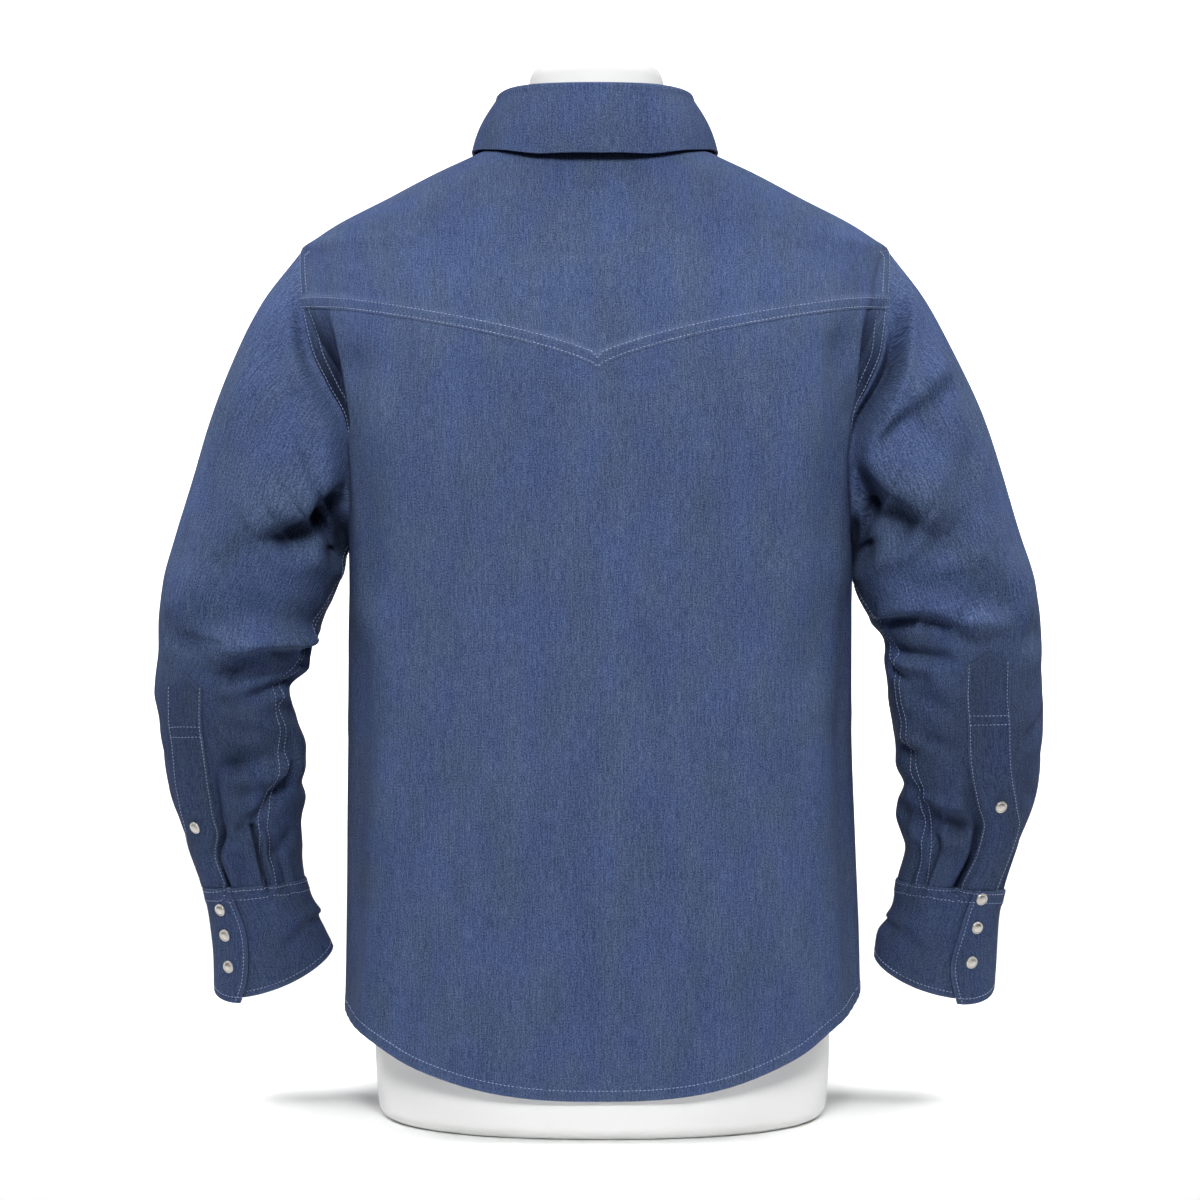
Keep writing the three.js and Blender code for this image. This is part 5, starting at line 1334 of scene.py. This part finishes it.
def bodyLines():
    lines = []
    frontLeftNormals, frontRightNormals = normalsOf(frontLeftGrid, True), normalsOf(frontRightGrid, False)
    yokeNormals = normalsOf(yokeGrid, False)
    for grid, normals in ((backGrid, backNormals), (frontLeftGrid, frontLeftNormals),
                          (frontRightGrid, frontRightNormals)):
        lines.append(insetPath(grid, normals, "first", 8))
    for offset in (1.6, 8.6):
        lines.append(insetPath(yokeGrid, yokeNormals, "first", offset, lift=0.7))
        for edge in ("left", "right"):
            lines.append(insetPath(backGrid, backNormals, edge, offset, armholeRow))
            lines.append(insetPath(yokeGrid, yokeNormals, edge, offset, 0, yokeShoulderRow))
        for grid, normals in ((frontLeftGrid, frontLeftNormals), (frontRightGrid, frontRightNormals)):
            lines.append(insetPath(grid, normals, "right", offset, armholeRow, frontShoulderRow))
            lines.append(insetPath(grid, normals, "right", offset, frontShoulderRow))
    for offset in (2, 9):
        for edge in ("left", "right"):
            lines.append(insetPath(backGrid, backNormals, edge, offset, 2, armholeRow))
    bandNormals = normalsOf(bandGrid, True)
    for edge in ("left", "right"):
        lines.append(insetPath(bandGrid, bandNormals, edge, 3.5))
    lines.append(insetPath(standGrid, normalsOf(standGrid, False), "first", 2))
    collarNormals = normalsOf(collarGrid, False)
    lines.append(insetPath(collarGrid, collarNormals, "last", 6, 3, -3))
    for edge in ("left", "right"):
        lines.append(insetPath(collarGrid, collarNormals, edge, 6, 16, -4))
    return lines


def sleeveLines(sleeve):
    lines = []
    cuffRows, bandRows = sleeve["cuffGrid"], sleeve["bandGrid"]
    mirrored = sleeve["side"] < 0
    cuffNormals, bandNormals = normalsOf(cuffRows, mirrored), normalsOf(bandRows, mirrored)
    lines.append(insetPath(cuffRows, cuffNormals, "last", 5))
    for offset in (2.5, 10):
        lines.append(insetPath(cuffRows, cuffNormals, "first", offset, lift=0.5))
    lines.append(insetPath(cuffRows, cuffNormals, "right", 4))
    for edge in ("left", "right"):
        lines.append(insetPath(bandRows, bandNormals, edge, 2))
    for at in sleeve["bandBars"]:
        share = (at - sleeve["bandTopRing"]) / (sleeveShape["cuffRing"] - sleeve["bandTopRing"])
        lines.append(rowPath(bandRows, bandNormals, share * (len(bandRows) - 1)))
    seam = curve(sleeve["seam"]["at"], sleeve["seam"]["turn"])
    at = np.linspace(0.6, sleeveShape["cuffRing"], 200)
    for offset in (-3.5, 3.5):
        turn = seam(at) + np.degrees(offset / radiusAt(sleeve, at))
        lines.append(sleevePoint(sleeve, at, turn, stitch["lift"]))
    return lines


addStitches("bodyStitching", bodyLines(), 3)
addStitches("sleeveStitching", sleeveLines(leftSleeve) + sleeveLines(rightSleeve), 7)

print("stitched")
